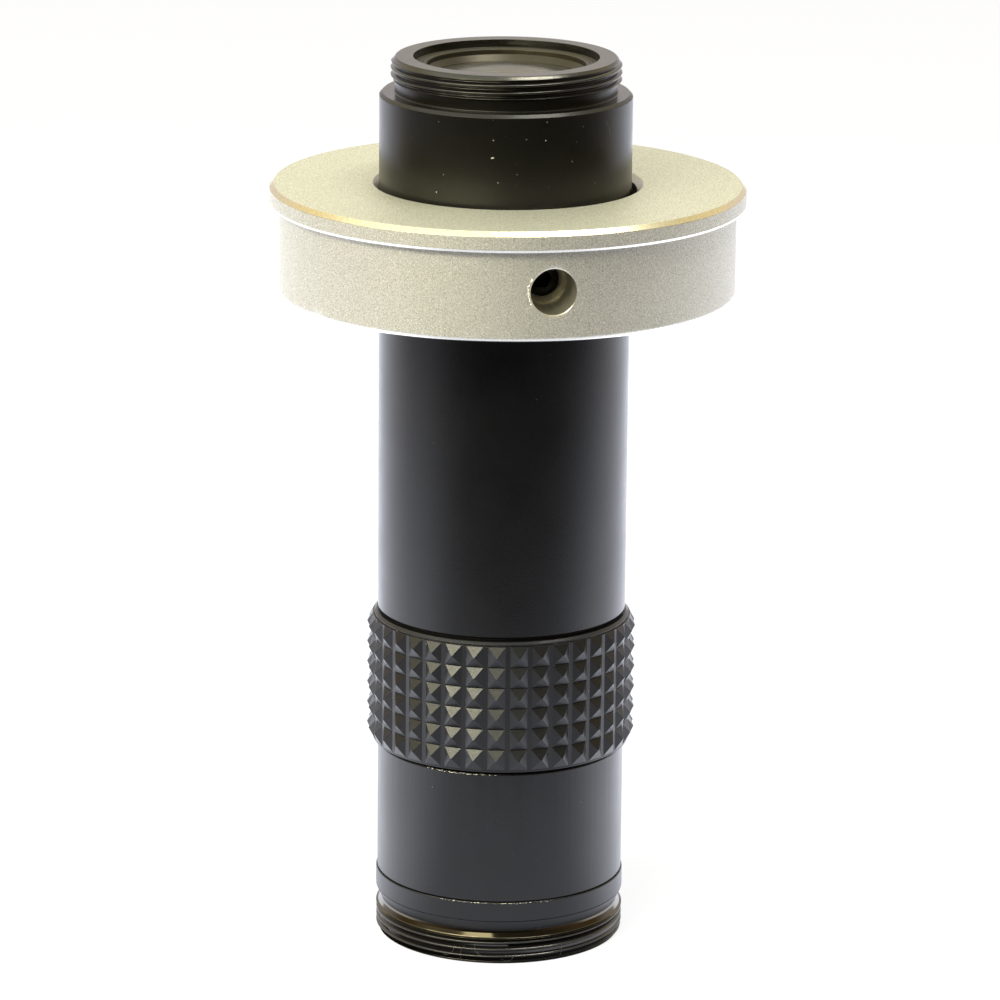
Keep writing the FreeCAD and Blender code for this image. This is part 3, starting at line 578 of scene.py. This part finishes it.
def stand_ring():
    """The stand ring: a turned surface with machined chamfers, less three stepped radial holes, and a
    small nick in its lower edge at the left."""
    low, high = corner_of("mounting_ring")
    flange_r = (high[0] - low[0]) / 2
    centre_x = (high[0] + low[0]) / 2
    flange_z = high[2] - STAND_FLANGE_HEIGHT
    body_z = low[2] + STAND_BASE_CHAMFER
    bore_top_z = high[2] - STAND_BORE_CHAMFER
    outline, finish = rounded([
        (STAND_BORE_R + STAND_BASE_CHAMFER, low[2], EDGE, 0),
        (STAND_BODY_R - STAND_BASE_CHAMFER, low[2], EDGE, 1),
        (STAND_BODY_R - STAND_BASE_SWELL, low[2] + STAND_BASE_SWELL, STAND_EDGE_ROUND, 1),
        (STAND_BODY_R, body_z, STAND_EDGE_ROUND, 0),
        (STAND_BODY_R, flange_z, EDGE / 2, 0), (flange_r - STAND_UNDER_CHAMFER[0], flange_z, EDGE, 1),
        (flange_r, flange_z + STAND_UNDER_CHAMFER[1], EDGE, 0),
        (flange_r, high[2] - STAND_FLANGE_CHAMFER, EDGE, 3),
        (flange_r - STAND_FLANGE_CHAMFER, high[2], EDGE, 4),
        (STAND_BORE_R + STAND_BORE_CHAMFER, high[2], EDGE, 2), (STAND_BORE_R, bore_top_z, EDGE, 2),
        (STAND_BORE_R, body_z, EDGE, 1),
    ])
    # Rows up the wall keep the shading of the nick below them local
    outline, finish = wall_rows(outline, finish, (STAND_BODY_R, body_z + 0.3),
                                (STAND_BODY_R, flange_z - 0.2), WALL_ROW_STEP)

    def nicked(radius, height, angle):
        """The lower outer edge is pushed in over a short stretch, as by a knock."""
        turn = np.degrees(angle) + 90 - NICK_TURN
        turn = np.mod(turn + 180, 360) - 180
        dent = np.exp(-(turn / NICK_HALF_TURN) ** 2) * np.clip(1 - (height - low[2]) / NICK_RISE, 0, 1)
        rough = 1 - NICK_ROUGHNESS + NICK_ROUGHNESS * np.sin(NICK_RIPPLES * turn)
        return radius - np.where(radius > STAND_BODY_R - 1, NICK_DEPTH * dent * rough, 0)

    mesh = grid_mesh("stand_ring", turned(outline, 540, nicked, centre_x), finish)
    # The top face takes a darker, greener copy of the champagne finish: painted shade on the top
    ring = piece("stand_ring", mesh, "stand_champagne", "chamfer_champagne", "hole_champagne",
                 "gold_chamfer", "top_champagne_painted_shade")
    for k in range(STAND_HOLES):
        turn = STAND_HOLE_TURN - 90 + 360 * k / STAND_HOLES
        cutter = hole_cutter(turn, centre_x, low[2] + STAND_HOLE_RISE, flange_r)
        cut = ring.modifiers.new("hole", "BOOLEAN")
        cut.operation = "DIFFERENCE"
        cut.solver = "EXACT"
        cut.material_mode = "TRANSFER"
        cut.object = cutter
        apply_modifiers(ring)
        bpy.data.objects.remove(cutter)
    ring.data.set_sharp_from_angle(angle=np.radians(35))
    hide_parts("mounting_ring")
    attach(ring, "barrel")


def apply_modifiers(thing):
    """Keeps the mesh that the object's modifiers make, and drops the modifiers."""
    depsgraph = bpy.context.evaluated_depsgraph_get()
    finished = bpy.data.meshes.new_from_object(thing.evaluated_get(depsgraph))
    thing.modifiers.clear()
    thing.data = finished


def dust(name, host, body, places, sizes, stretch=1.0, finish="pale_dust"):
    """Specks of dust: flattened eight-sided grains, one at each (turn from the front, height, radius). Each
    is the grain's six corners scaled by its size and set along its own outward, level and upward axes."""
    turn, height, radius = np.array(places).T
    turn = np.radians(turn - 90)
    out = np.stack([np.cos(turn), np.sin(turn), np.zeros_like(turn)], -1)
    level = np.stack([-np.sin(turn), np.cos(turn), np.zeros_like(turn)], -1)
    up = np.broadcast_to([0.0, 0.0, 1.0], out.shape)
    middle = out * radius[:, None] + up * height[:, None]
    size = np.array(sizes)[:, None, None]
    wide = level * stretch
    thick = out * GRAIN_THICKNESS
    tall = up * GRAIN_HEIGHT
    axes = np.stack([thick, -thick, wide, -wide, tall, -tall], axis=1) * size
    points = (middle[:, None, :] + axes).reshape(-1, 3)
    shape = np.array([(0, 2, 4), (0, 4, 3), (0, 3, 5), (0, 5, 2),
                      (1, 4, 2), (1, 3, 4), (1, 5, 3), (1, 2, 5)])
    faces = (shape[None] + 6 * np.arange(len(turn))[:, None, None]).reshape(-1, 3)
    thing = piece(name, mesh_of(name, points, faces.tolist()), finish)
    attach(thing, body)


def strewn(seed, count, turns, heights, radius, low_size, high_size):
    """Seeded even spread of grains over a stretch of a cylinder, with small ones far more common."""
    rng = np.random.default_rng(seed)
    turn = rng.uniform(*turns, count)
    height = rng.uniform(*heights, count)
    size = low_size + (high_size - low_size) * rng.uniform(0, 1, count) ** 3
    return np.stack([turn, height, np.full(count, radius)], -1).tolist(), size.tolist()


def burr_at_hole():
    """Grains of torn film round the left rim of the front hole, just past its lip."""
    low, high = corner_of("mounting_ring")
    rng = np.random.default_rng(19)
    spoke = rng.uniform(*np.radians(BURR_SPOKES), BURR_GRAINS)
    away = COUNTERBORE_R + HOLE_LIP + BURR_REACH * rng.uniform(0, 1, BURR_GRAINS) ** 2
    centre_x = (low[0] + high[0]) / 2
    along = away * np.cos(spoke) + centre_x * np.cos(np.radians(STAND_HOLE_TURN))
    turn = STAND_HOLE_TURN + np.degrees(along / STAND_BODY_R)
    height = low[2] + STAND_HOLE_RISE + away * np.sin(spoke)
    shift = centre_x * np.sin(np.radians(turn))
    size = BURR_SIZE + BURR_SIZE_SPREAD * rng.uniform(0, 1, BURR_GRAINS) ** 2
    return np.stack([turn, height, STAND_BODY_R + shift], -1).tolist(), size.tolist()


def fibres(name, body, strands):
    """Lint: thin hairs on the surface. Each strand is (turn, height, radius, length, lean, bend): its
    middle line is an arc of that length on the cylinder, a six-sided tube is swept along it, and its ends
    close in a point."""
    sides = 2 * np.pi * np.arange(6) / 6
    along = np.linspace(-0.5, 0.5, 17)
    taper = np.sqrt(np.clip(1 - (2 * along) ** 6, 0.02, 1))
    points = []
    faces = []
    for turn, height, radius, length, lean, bend in strands:
        heading = np.radians(lean) + bend * along
        step = length / (len(along) - 1)
        across = np.cumsum(np.cos(heading)) * step
        rise = np.cumsum(np.sin(heading)) * step
        at = np.radians(turn - 90) + (across - across.mean()) / radius
        out = (radius + LINT_STANDOFF + LINT_CURL * np.abs(along)[:, None]
               + LINT_R * taper[:, None] * np.cos(sides))
        slip = LINT_R * taper[:, None] * np.sin(sides)
        place = at[:, None] - np.sin(heading)[:, None] * slip / radius
        level = height + (rise - rise.mean())[:, None] + np.cos(heading)[:, None] * slip
        start = sum(len(p) for p in points)
        points.append(np.stack([out * np.cos(place), out * np.sin(place), level], -1).reshape(-1, 3))
        index = start + np.arange(len(along) * 6).reshape(-1, 6)
        beside = np.roll(index, -1, axis=1)
        faces += np.stack([index[:-1], index[1:], beside[1:], beside[:-1]], -1).reshape(-1, 4).tolist()
        faces += [index[0].tolist(), index[-1][::-1].tolist()]
    thing = piece(name, mesh_of(name, np.concatenate(points), faces), "grey_lint")
    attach(thing, body)


# Materials
MATERIALS = {}


def linear(code):
    """Linear red, green, blue and full alpha of an sRGB hex colour: the standard's power curve, with its
    straight stretch near black."""
    srgb = np.array([int(code[k:k + 2], 16) / 255 for k in (1, 3, 5)])
    value = np.where(srgb <= 0.04045, srgb / 12.92, ((srgb + 0.055) / 1.055) ** 2.4)
    return (*value.tolist(), 1.0)


def feed(tree, node, inputs):
    """Gives each named socket of a node a value or another node's output."""
    for name, value in inputs.items():
        if isinstance(value, bpy.types.NodeSocket):
            tree.links.new(value, node.inputs[name])
        else:
            node.inputs[name].default_value = value


def add(tree, kind, inputs=None, **settings):
    """Adds a node with its settings, and feeds its sockets."""
    node = tree.nodes.new(kind)
    for name, value in settings.items():
        setattr(node, name, value)
    feed(tree, node, inputs or {})
    return node


def new_material(name):
    """Adds an empty material to the finishes. Returns its node tree, its shader and the Object
    coordinates."""
    material = bpy.data.materials.new(name)
    MATERIALS[name] = material
    material.use_nodes = True
    tree = material.node_tree
    tree.nodes.clear()
    shader = add(tree, "ShaderNodeBsdfPrincipled")
    add(tree, "ShaderNodeOutputMaterial", {"Surface": shader.outputs[0]})
    coordinates = add(tree, "ShaderNodeTexCoord").outputs["Object"]
    return tree, shader, coordinates


def per_mm(count):
    """Texture scale that puts this many cells in a millimetre of Object coordinates, which are metres."""
    return count / MM


def grained(tree, shader, coordinates, colour, grit, relief, detail, harsh):
    """A blasted film: a noise as fine as the grit sways its colour between two shades and lifts it by the
    relief, both in mm."""
    grain = add(tree, "ShaderNodeTexNoise", {"Vector": coordinates, "Scale": per_mm(1 / grit),
                                             "Detail": detail, "Roughness": harsh})
    film = add(tree, "ShaderNodeMapRange", {"Value": grain.outputs[0], "From Min": 0.3, "From Max": 0.7})
    shade = add(tree, "ShaderNodeMix", {"Factor": film.outputs[0], 6: linear(colour[0]),
                                        7: linear(colour[1])}, data_type="RGBA")
    bump = add(tree, "ShaderNodeBump", {"Height": grain.outputs[0], "Distance": relief * MM})
    feed(tree, shader, {"Base Color": shade.outputs[2], "Normal": bump.outputs[0]})


def anodised(name, colour, tint, roughness, grit, relief, sealed=0.0, index=1.5):
    """Black anodised aluminium: a dyed oxide film over a blasted or turned surface. The film is nearly
    black, its gloss is lightly tinted, and the grit leaves a grain that breaks up every highlight. Where
    the film is sealed, a smooth skin mirrors the room over the grain's glow. The gloss wanders a little in
    patches of about 7 mm."""
    tree, shader, coordinates = new_material(name)
    grained(tree, shader, coordinates, colour, grit, relief, 1.0, 0.5)
    patches = add(tree, "ShaderNodeTexNoise", {"Vector": coordinates, "Scale": per_mm(0.15), "Detail": 3.0})
    rough = add(tree, "ShaderNodeMapRange", {"Value": patches.outputs[0], "From Min": 0.3, "From Max": 0.7,
                                             "To Min": roughness - 0.03, "To Max": roughness + 0.03})
    feed(tree, shader, {"Roughness": rough.outputs[0], "Specular Tint": linear(tint), "IOR": index,
                        "Coat Weight": sealed, "Coat Roughness": 0.2})


def champagne(name, colour, metallic, roughness, grit, relief):
    """Champagne anodised aluminium: a tinted film over bright metal. Bead blasting scatters most of the
    light, so the blasted faces are satin with a visible grain, and the cut chamfers stay bright."""
    tree, shader, coordinates = new_material(name)
    grained(tree, shader, coordinates, colour, grit, relief, 2.0, 0.6)
    feed(tree, shader, {"Metallic": metallic, "Roughness": roughness})


def plain(name, colour, roughness, metallic=0.0):
    """A hidden or small piece's finish: its colour, and a roughness mottled in spots of about 0.5 mm."""
    tree, shader, coordinates = new_material(name)
    mottle = add(tree, "ShaderNodeTexNoise", {"Vector": coordinates, "Scale": per_mm(2.0), "Detail": 2.0})
    rough = add(tree, "ShaderNodeMapRange", {"Value": mottle.outputs[0], "To Min": roughness - 0.06,
                                             "To Max": roughness + 0.06})
    feed(tree, shader, {"Roughness": rough.outputs[0], "Base Color": linear(colour),
                        "Metallic": metallic})


def coated_glass(name):
    """Optical crown glass with a thin antireflection film, which leaves a weak reflection, as a low index
    does here. A little haze in patches of about 3 mm dulls it. Its pale olive colour, which a transmission
    weight under one also shows as a thin matt layer, is a painted reflection of the warm room."""
    tree, shader, coordinates = new_material(name)
    haze = add(tree, "ShaderNodeTexNoise", {"Vector": coordinates, "Scale": per_mm(0.3), "Detail": 1.0})
    rough = add(tree, "ShaderNodeMapRange", {"Value": haze.outputs[0], "From Min": 0.4, "From Max": 0.75,
                                             "To Min": 0.18, "To Max": 0.27})
    # The pale olive colour and the matt share that the transmission weight leaves are a painted reflection
    feed(tree, shader, {"Roughness": rough.outputs[0], "Base Color": linear("#e6e2cf"),
                        "Transmission Weight": 0.94, "IOR": 1.25})


# Grain scales are the grit that blasted the metal or the tool's feed, in millimetres. Blasting glass of
# 0.1 mm and a turning feed of 0.05 mm are too fine to show, so the first is drawn up to 1.6 times and the
# second up to six times as coarse. Each film has two shades, between which its grain sways.
BARREL_FILM = ("#070708", "#0e0e0f")
OLIVE_FILM = ("#060605", "#0d0d0b")
GRIP_FILM = ("#0f0f10", "#19191a")
# The rim's film is paler than the others: a painted sheen for the light that the rim catches at a grazing
# angle
RIM_FILM_PAINTED_SHEEN = ("#1a1916", "#2a2924")

# Anodised finishes: film, tint of the gloss, roughness, grit, relief, sealed share and index

# Black anodised aluminium, blasted: nearly black, with a broad speckled glow, a little olive at the
# camera end and neutral on the barrels and the cell
anodised("camera_end_black", OLIVE_FILM, "#dcd9d0", 0.36, 0.13, 0.019, 0.14)
anodised("barrel_black", BARREL_FILM, "#ffffff", 0.3, 0.14, 0.014)
anodised("cell_black", BARREL_FILM, "#ffffff", 0.33, 0.14, 0.011)
# Black anodised aluminium, cut and then lightly blasted: grey facets that catch the lamps one by one
anodised("grip_black", GRIP_FILM, "#ffffff", 0.32, 0.16, 0.01)
# Black anodised aluminium as turned: the dense oxide, with its higher index, mirrors sharply
anodised("turned_black", OLIVE_FILM, "#fffaf0", 0.2, 0.12, 0.001, 0.0, 1.7)
anodised("chamfer_black", OLIVE_FILM, "#fffaea", 0.18, 0.16, 0.02, 0.0, 1.7)
anodised("groove_black", OLIVE_FILM, "#fff0cc", 0.1, 0.12, 0.0003, 0.0, 1.76)
# Black anodised rim with a soft shine, its film painted paler as a painted sheen for the backdrop's light
# that it catches at a grazing angle
anodised("rim_black", RIM_FILM_PAINTED_SHEEN, "#fff6e2", 0.42, 0.16, 0.02, 0.5)
# Champagne anodised aluminium, bead blasted: a pale satin with a sparkle of grains
champagne("stand_champagne", ("#bbbaac", "#fffdf4"), 0.75, 0.53, 0.13, 0.035)
# Painted shade: the top face's copy of the same finish is darker and greener, for how the light falls on the
# top
champagne("top_champagne_painted_shade", ("#b0b09d", "#f2f2e2"), 0.75, 0.53, 0.13, 0.035)
# Champagne anodised aluminium as cut after blasting: bright narrow bands, gold on the top edge
champagne("chamfer_champagne", ("#d8d6ce", "#e4e2da"), 1.0, 0.16, 0.3, 0.002)
champagne("gold_chamfer", ("#e2d4ac", "#eee4c4"), 1.0, 0.27, 0.3, 0.003)
champagne("hole_champagne", ("#bdb9a6", "#d6d2c0"), 0.7, 0.3, 0.2, 0.004)
# Blackened brass and aluminium inside, seen only down the bore: dull, olive where light reaches it
plain("inner_black", "#12110e", 0.42)
anodised("inner_olive", ("#1c1b14", "#2e2c22"), "#fff3d8", 0.36, 0.14, 0.02)
# Black oxide on steel set screws: dark and slightly glossy
plain("screw_black", "#151515", 0.35, 0.6)
# Black acetal thrust washers: a soft even black
plain("washer_black", "#0c0c0c", 0.5)
# Turned brass cam followers: bright yellow metal
plain("follower_brass", "#d8b26a", 0.28, 1.0)
# Crown glass with its coating
coated_glass("lens_glass")
# Skin and paper dust, a textile hair, and aluminium where the black film has chipped off
plain("pale_dust", "#d9d4c4", 0.8)
plain("grey_lint", "#83817b", 0.8)
plain("bare_metal", "#f0ead6", 0.35, 0.8)

# The frame's own nodes keep their shapes and take these finishes
for node, thing in frame["nodes"].items():
    for place in thing.material_slots:
        place.material = MATERIALS[place.material.name.split(".")[0]]

# Pieces that stand for CAD nodes
camera_end()
objective()
front_tube()
rear_ring()
zoom_grip()
stand_ring()

# Grains are strewn by seed, count, range of turns, range of heights, radius, and smallest and largest size
dust("camera_end_dust", "camera_end_black", "barrel",
     [(turn, height, GRAINS_R) for turn, height in GRAINS_ON_CAMERA_END], GRAIN_SIZES)
dust("camera_end_specks", "camera_end_black", "barrel",
     *strewn(11, 26, ALL_ROUND, (86.2, 95.0), 13.815, 0.015, 0.05))
dust("barrel_specks", "barrel_black", "barrel",
     *strewn(12, 60, ALL_ROUND, (38, 72.5), 13.775, 0.012, 0.04))
dust("front_specks", "barrel_black", "barrel",
     *strewn(13, 36, ALL_ROUND, (7.5, 21.5), 13.735, 0.012, 0.05))
dust("cell_specks", "cell_black", "barrel",
     *strewn(14, 50, ALL_ROUND, (0.4, 3.4), 13.5, 0.012, 0.045))
dust("grip_specks", "grip_black", "zoom_grip",
     *strewn(15, 150, ALL_ROUND, (22.8, 37.0), 14.4, 0.02, 0.07))
dust("collar_specks", "grip_black", "zoom_grip",
     *strewn(16, 90, ALL_ROUND, (36.6, 36.85), 14.28, 0.012, 0.05))
# Pale metal flecks on the front-left stretch of the top edge: partly wear, partly a painted highlight where
# the edge would catch the key lamp
dust("worn_top_edge_and_glint", "barrel_black", "barrel",
     *strewn(17, 90, (-36, -2), (21.78, 21.95), 13.725, 0.015, 0.05), 3.0, "bare_metal")
dust("worn_seam", "cell_black", "barrel",
     *strewn(18, 70, (-28, 26), (6.97, 7.05), 13.865, 0.02, 0.06), 2.5, "bare_metal")
dust("hole_burr", "stand_champagne", "barrel", *burr_at_hole(), 1.0, "bare_metal")
fibres("thread_lint", "barrel", LINT_ON_THREAD)
fibres("camera_end_lint", "barrel", LINT_ON_CAMERA_END)


# Studio
SMOOTH = {"interpolation_type": "SMOOTHSTEP"}
TABLE_GAP = 0.1


def soft_box(name, place, aim, width, height, radiance, colour, spin=0):
    """A rectangular lamp, turned about its own axis by spin degrees. Its power is radiance * pi * area, so
    that its face is as bright as stated."""
    lamp = bpy.data.lights.new(name, "AREA")
    lamp.shape = "RECTANGLE"
    lamp.size = width * MM
    lamp.size_y = height * MM
    lamp.energy = radiance * np.pi * width * height * MM * MM
    lamp.color = linear(colour)[:3]
    thing = piece(name, lamp)
    place = Vector(place) * MM
    thing.location = place
    facing = (Vector(aim) * MM - place).to_track_quat("-Z", "Y").to_matrix()
    thing.rotation_euler = (facing @ Matrix.Rotation(np.radians(spin), 3, "Z")).to_euler()
    thing.visible_camera = False


def around(turn, rise, distance, height):
    """A point at an angle from the front towards +X, an elevation and a distance from the axis."""
    turn = np.radians(turn)
    rise = np.radians(rise)
    level = distance * np.cos(rise)
    return (level * np.sin(turn), -level * np.cos(turn), height + distance * np.sin(rise))


def seen(tree):
    """Two outputs: 1 on the rays that show the background, which are camera, glossy and transmission rays,
    and 1 on glossy rays alone."""
    path = add(tree, "ShaderNodeLightPath")
    camera = path.outputs["Is Camera Ray"]
    glossy = path.outputs["Is Glossy Ray"]
    through = add(tree, "ShaderNodeMath", {0: camera, 1: path.outputs["Is Transmission Ray"]},
                  operation="MAXIMUM")
    total = add(tree, "ShaderNodeMath", {0: through.outputs[0], 1: glossy}, operation="MAXIMUM")
    return total.outputs[0], glossy


def studio_floor():
    """A plain white table. The camera sees it white under the object's soft shadow. For glossy rays it
    carries a painted glow: white close by and grey far in front, as if the table ended there, with painted
    shade under the lens and near its foot."""
    half = 3000.0
    corners = [(-half, -half, 0), (half, -half, 0), (half, half, 0), (-half, half, 0)]
    mesh = mesh_of("table", corners, [(0, 1, 2, 3)])
    floor = piece("table", mesh)
    floor.location = (0, 0, -TABLE_GAP * MM)
    material = bpy.data.materials.new("table_white")
    material.use_nodes = True
    tree = material.node_tree
    tree.nodes.clear()
    coordinates = add(tree, "ShaderNodeTexCoord").outputs["Object"]
    split = add(tree, "ShaderNodeSeparateXYZ", {0: coordinates})
    side, depth = split.outputs["X"], split.outputs["Y"]
    # Distance that counts in full to the front, less to the sides and little behind
    skewed = add(tree, "ShaderNodeMath", {0: side, 1: -0.12, 2: depth}, operation="MULTIPLY_ADD")
    forward = add(tree, "ShaderNodeMath", {0: skewed.outputs[0], 1: 0.0}, operation="MINIMUM")
    share = add(tree, "ShaderNodeMapRange", {"Value": depth, "From Min": -0.03, "From Max": 0.15,
                                             "To Min": 0.44, "To Max": 0.22}, **SMOOTH)
    narrow = add(tree, "ShaderNodeMath", {0: side, 1: share.outputs[0]}, operation="MULTIPLY")
    scaled = add(tree, "ShaderNodeCombineXYZ", {0: narrow.outputs[0], 1: forward.outputs[0]})
    reach = add(tree, "ShaderNodeVectorMath", {0: scaled.outputs[0]}, operation="LENGTH").outputs["Value"]
    aside = add(tree, "ShaderNodeMath", {0: side}, operation="ABSOLUTE").outputs[0]
    total = add(tree, "ShaderNodeMath", {0: aside, 1: forward.outputs[0]}, operation="SUBTRACT")
    ratio = add(tree, "ShaderNodeMath", {0: aside, 1: total.outputs[0]}, operation="DIVIDE").outputs[0]
    middle = add(tree, "ShaderNodeVectorMath", {0: coordinates}, operation="LENGTH").outputs["Value"]
    # Each ramp: what it follows, where it begins and ends in metres or as a ratio, and its two levels
    ramps = {
        "near": (reach, 0.085, 0.14, 1.0, 0.0), "far": (reach, 0.11, 0.2, 0.25, 0.02),
        "sideways": (ratio, 0.45, 0.95, 0.0, 1.0), "lift": (aside, 0.005, 0.04, 0.0, 1.0),
        "fall": (aside, 0.09, 0.19, 1.0, 0.5), "clear": (middle, 0.0138, 0.0162, 0.0, 1.0),
        "beyond": (middle, 0.29, 0.34, 0.0, 1.0), "beside": (depth, 0.1, 0.22, 1.0, 0.0),
    }
    ramp = {}
    for name, (follows, begin, end, first, last) in ramps.items():
        node = add(tree, "ShaderNodeMapRange", {"Value": follows, "From Min": begin, "From Max": end,
                                                "To Min": first, "To Max": last}, **SMOOTH)
        ramp[name] = node.outputs[0]
    # The front's painted glow, up to twice as bright to the sides, with painted shade under the object and
    # near its foot
    front = add(tree, "ShaderNodeMath", {0: ramp["near"], 1: ramp["far"]}, operation="ADD")
    raised = add(tree, "ShaderNodeMath", {0: ramp["lift"], 1: ramp["fall"]}, operation="MULTIPLY")
    gain = add(tree, "ShaderNodeMath", {0: ramp["sideways"], 1: raised.outputs[0], 2: 1.0},
               operation="MULTIPLY_ADD")
    level = add(tree, "ShaderNodeMath", {0: front.outputs[0], 1: gain.outputs[0]}, operation="MULTIPLY")
    bright = add(tree, "ShaderNodeMath", {0: level.outputs[0], 1: ramp["clear"]}, operation="MULTIPLY")
    # Further out at the sides the painted glow dims and turns the brown of the room
    gone = add(tree, "ShaderNodeMath", {0: ramp["beyond"], 1: ramp["beside"]}, operation="MULTIPLY")
    dimmer = add(tree, "ShaderNodeMath", {0: gone.outputs[0], 1: -0.7, 2: 1.0}, operation="MULTIPLY_ADD")
    faded = add(tree, "ShaderNodeMath", {0: bright.outputs[0], 1: dimmer.outputs[0]}, operation="MULTIPLY")
    hue = add(tree, "ShaderNodeMix", {"Factor": gone.outputs[0], 6: linear("#f1f4ff"),
                                      7: linear("#ffdca4")}, data_type="RGBA")
    # The camera's white stops at the foot of the object, so that no light comes from under it
    open_part = add(tree, "ShaderNodeMath", {0: middle, 1: 0.0135}, operation="GREATER_THAN")
    glow = add(tree, "ShaderNodeMath", {0: open_part.outputs[0], 1: 0.8}, operation="MULTIPLY")
    shows, glossy = seen(tree)
    mirrored = add(tree, "ShaderNodeEmission", {"Color": hue.outputs[2], "Strength": faded.outputs[0]})
    matt = add(tree, "ShaderNodeBsdfDiffuse", {"Color": linear("#8a8c94")})
    plain_white = add(tree, "ShaderNodeEmission", {"Color": linear("#ffffff"), "Strength": glow.outputs[0]})
    shown = add(tree, "ShaderNodeAddShader", {0: matt.outputs[0], 1: plain_white.outputs[0]})
    background = add(tree, "ShaderNodeMixShader", {0: glossy, 1: shown.outputs[0], 2: mirrored.outputs[0]})
    dull = add(tree, "ShaderNodeEmission", {"Color": linear("#f1f4ff"), "Strength": 0.55})
    pick = add(tree, "ShaderNodeMixShader", {0: shows, 1: dull.outputs[0], 2: background.outputs[0]})
    add(tree, "ShaderNodeOutputMaterial", {"Surface": pick.outputs[0]})
    mesh.materials.append(material)


def studio_world():
    """A room with a white backdrop behind, brown sides, a dim front behind the camera, warm upper walls
    brighter at the left and behind, and a white ceiling brightest at the left. Metal shows that room, and
    the camera and glass see it plain white. Its light on matt surfaces is even."""
    world = bpy.data.worlds.new("studio")
    bpy.context.scene.world = world
    world.use_nodes = True
    tree = world.node_tree
    tree.nodes.clear()
    direction = add(tree, "ShaderNodeTexCoord").outputs["Generated"]
    split = add(tree, "ShaderNodeSeparateXYZ", {0: direction})
    side, depth, height = split.outputs[:3]
    aside = add(tree, "ShaderNodeMath", {0: side}, operation="ABSOLUTE").outputs[0]
    leftward = add(tree, "ShaderNodeMath", {0: side, 1: -0.4, 2: depth}, operation="MULTIPLY_ADD").outputs[0]
    # Each ramp: the part of the direction that it follows, where it begins and ends, and its two levels
    ramps = {
        "backdrop": (depth, 0.2, 0.6, 0.0, 1.0), "wings": (aside, 0.4, 0.95, 0.04, 0.35),
        "walls": (leftward, -0.95, 0.6, 0.1, 1.0), "overhead": (side, -0.1, 0.5, 1.6, 0.8),
        "rise": (height, 0.28, 0.5, 0.0, 1.0), "ceiling": (height, 0.6, 0.8, 0.0, 1.0),
    }
    ramp = {}
    for name, (follows, begin, end, first, last) in ramps.items():
        node = add(tree, "ShaderNodeMapRange", {"Value": follows, "From Min": begin, "From Max": end,
                                                "To Min": first, "To Max": last}, **SMOOTH)
        ramp[name] = node.outputs[0]
    brown = add(tree, "ShaderNodeBackground", {"Color": linear("#ffd296"), "Strength": ramp["wings"]})
    pale = add(tree, "ShaderNodeBackground", {"Color": linear("#fff8f6"), "Strength": 0.85})
    warm = add(tree, "ShaderNodeBackground", {"Color": linear("#fff0c8"), "Strength": ramp["walls"]})
    above = add(tree, "ShaderNodeBackground", {"Color": linear("#fdfff2"), "Strength": ramp["overhead"]})
    room = brown
    for share, next_part in (("backdrop", pale), ("rise", warm), ("ceiling", above)):
        room = add(tree, "ShaderNodeMixShader", {0: ramp[share], 1: room.outputs[0],
                                                 2: next_part.outputs[0]})
    white = add(tree, "ShaderNodeBackground", {"Color": linear("#ffffff"), "Strength": 1.0})
    dull = add(tree, "ShaderNodeBackground", {"Color": linear("#fff7e4"), "Strength": 0.5})
    shows, glossy = seen(tree)
    background = add(tree, "ShaderNodeMixShader", {0: glossy, 1: white.outputs[0], 2: room.outputs[0]})
    pick = add(tree, "ShaderNodeMixShader", {0: shows, 1: dull.outputs[0], 2: background.outputs[0]})
    add(tree, "ShaderNodeOutputWorld", {"Surface": pick.outputs[0]})


def studio_lamps():
    """A warm key with a hotter middle above the camera's left shoulder, and a long lamp high on the
    right."""
    # Each lamp: place, aim, width, height, radiance, colour and spin
    soft_box("key_lamp", around(-42, 38, 700, 50), (0, 0, 50), 820, 260, 6.2, "#fffadc")
    soft_box("key_middle", around(-38, 38, 690, 50), (0, 0, 50), 300, 50, 30.0, "#fffbe0")
    soft_box("top_lamp", around(70, 72, 650, 60), (0, 0, 60), 300, 110, 17.0, "#fffdf4", -43)


def photo_camera():
    """Camera at the photo's viewpoint, fitted to the object's edges: its place, its turn to the right, its
    tilt down and its roll, and the focal length on the standard 36 mm sensor."""
    place = Vector((-1.504, -580.591, 206.050)) * MM
    turn, tilt, roll = np.radians([0.1225, 15.0923, 0.5346])
    forward = Vector((np.sin(turn) * np.cos(tilt), np.cos(turn) * np.cos(tilt), -np.sin(tilt)))
    right = Vector((np.cos(turn), -np.sin(turn), 0))
    up = right.cross(forward)
    level = right * np.cos(roll) + up * np.sin(roll)
    above = up * np.cos(roll) - right * np.sin(roll)
    lens = bpy.data.cameras.new("camera")
    lens.lens = 195.18
    lens.sensor_width = 36.0
    lens.clip_start = 0.01
    camera = piece("camera", lens)
    turned_to = Matrix((level, above, -forward)).transposed()
    camera.matrix_world = Matrix.Translation(place) @ turned_to.to_4x4()
    bpy.context.scene.camera = camera


studio_floor()
studio_world()
studio_lamps()
photo_camera()
bpy.context.scene.view_settings.view_transform = "Standard"
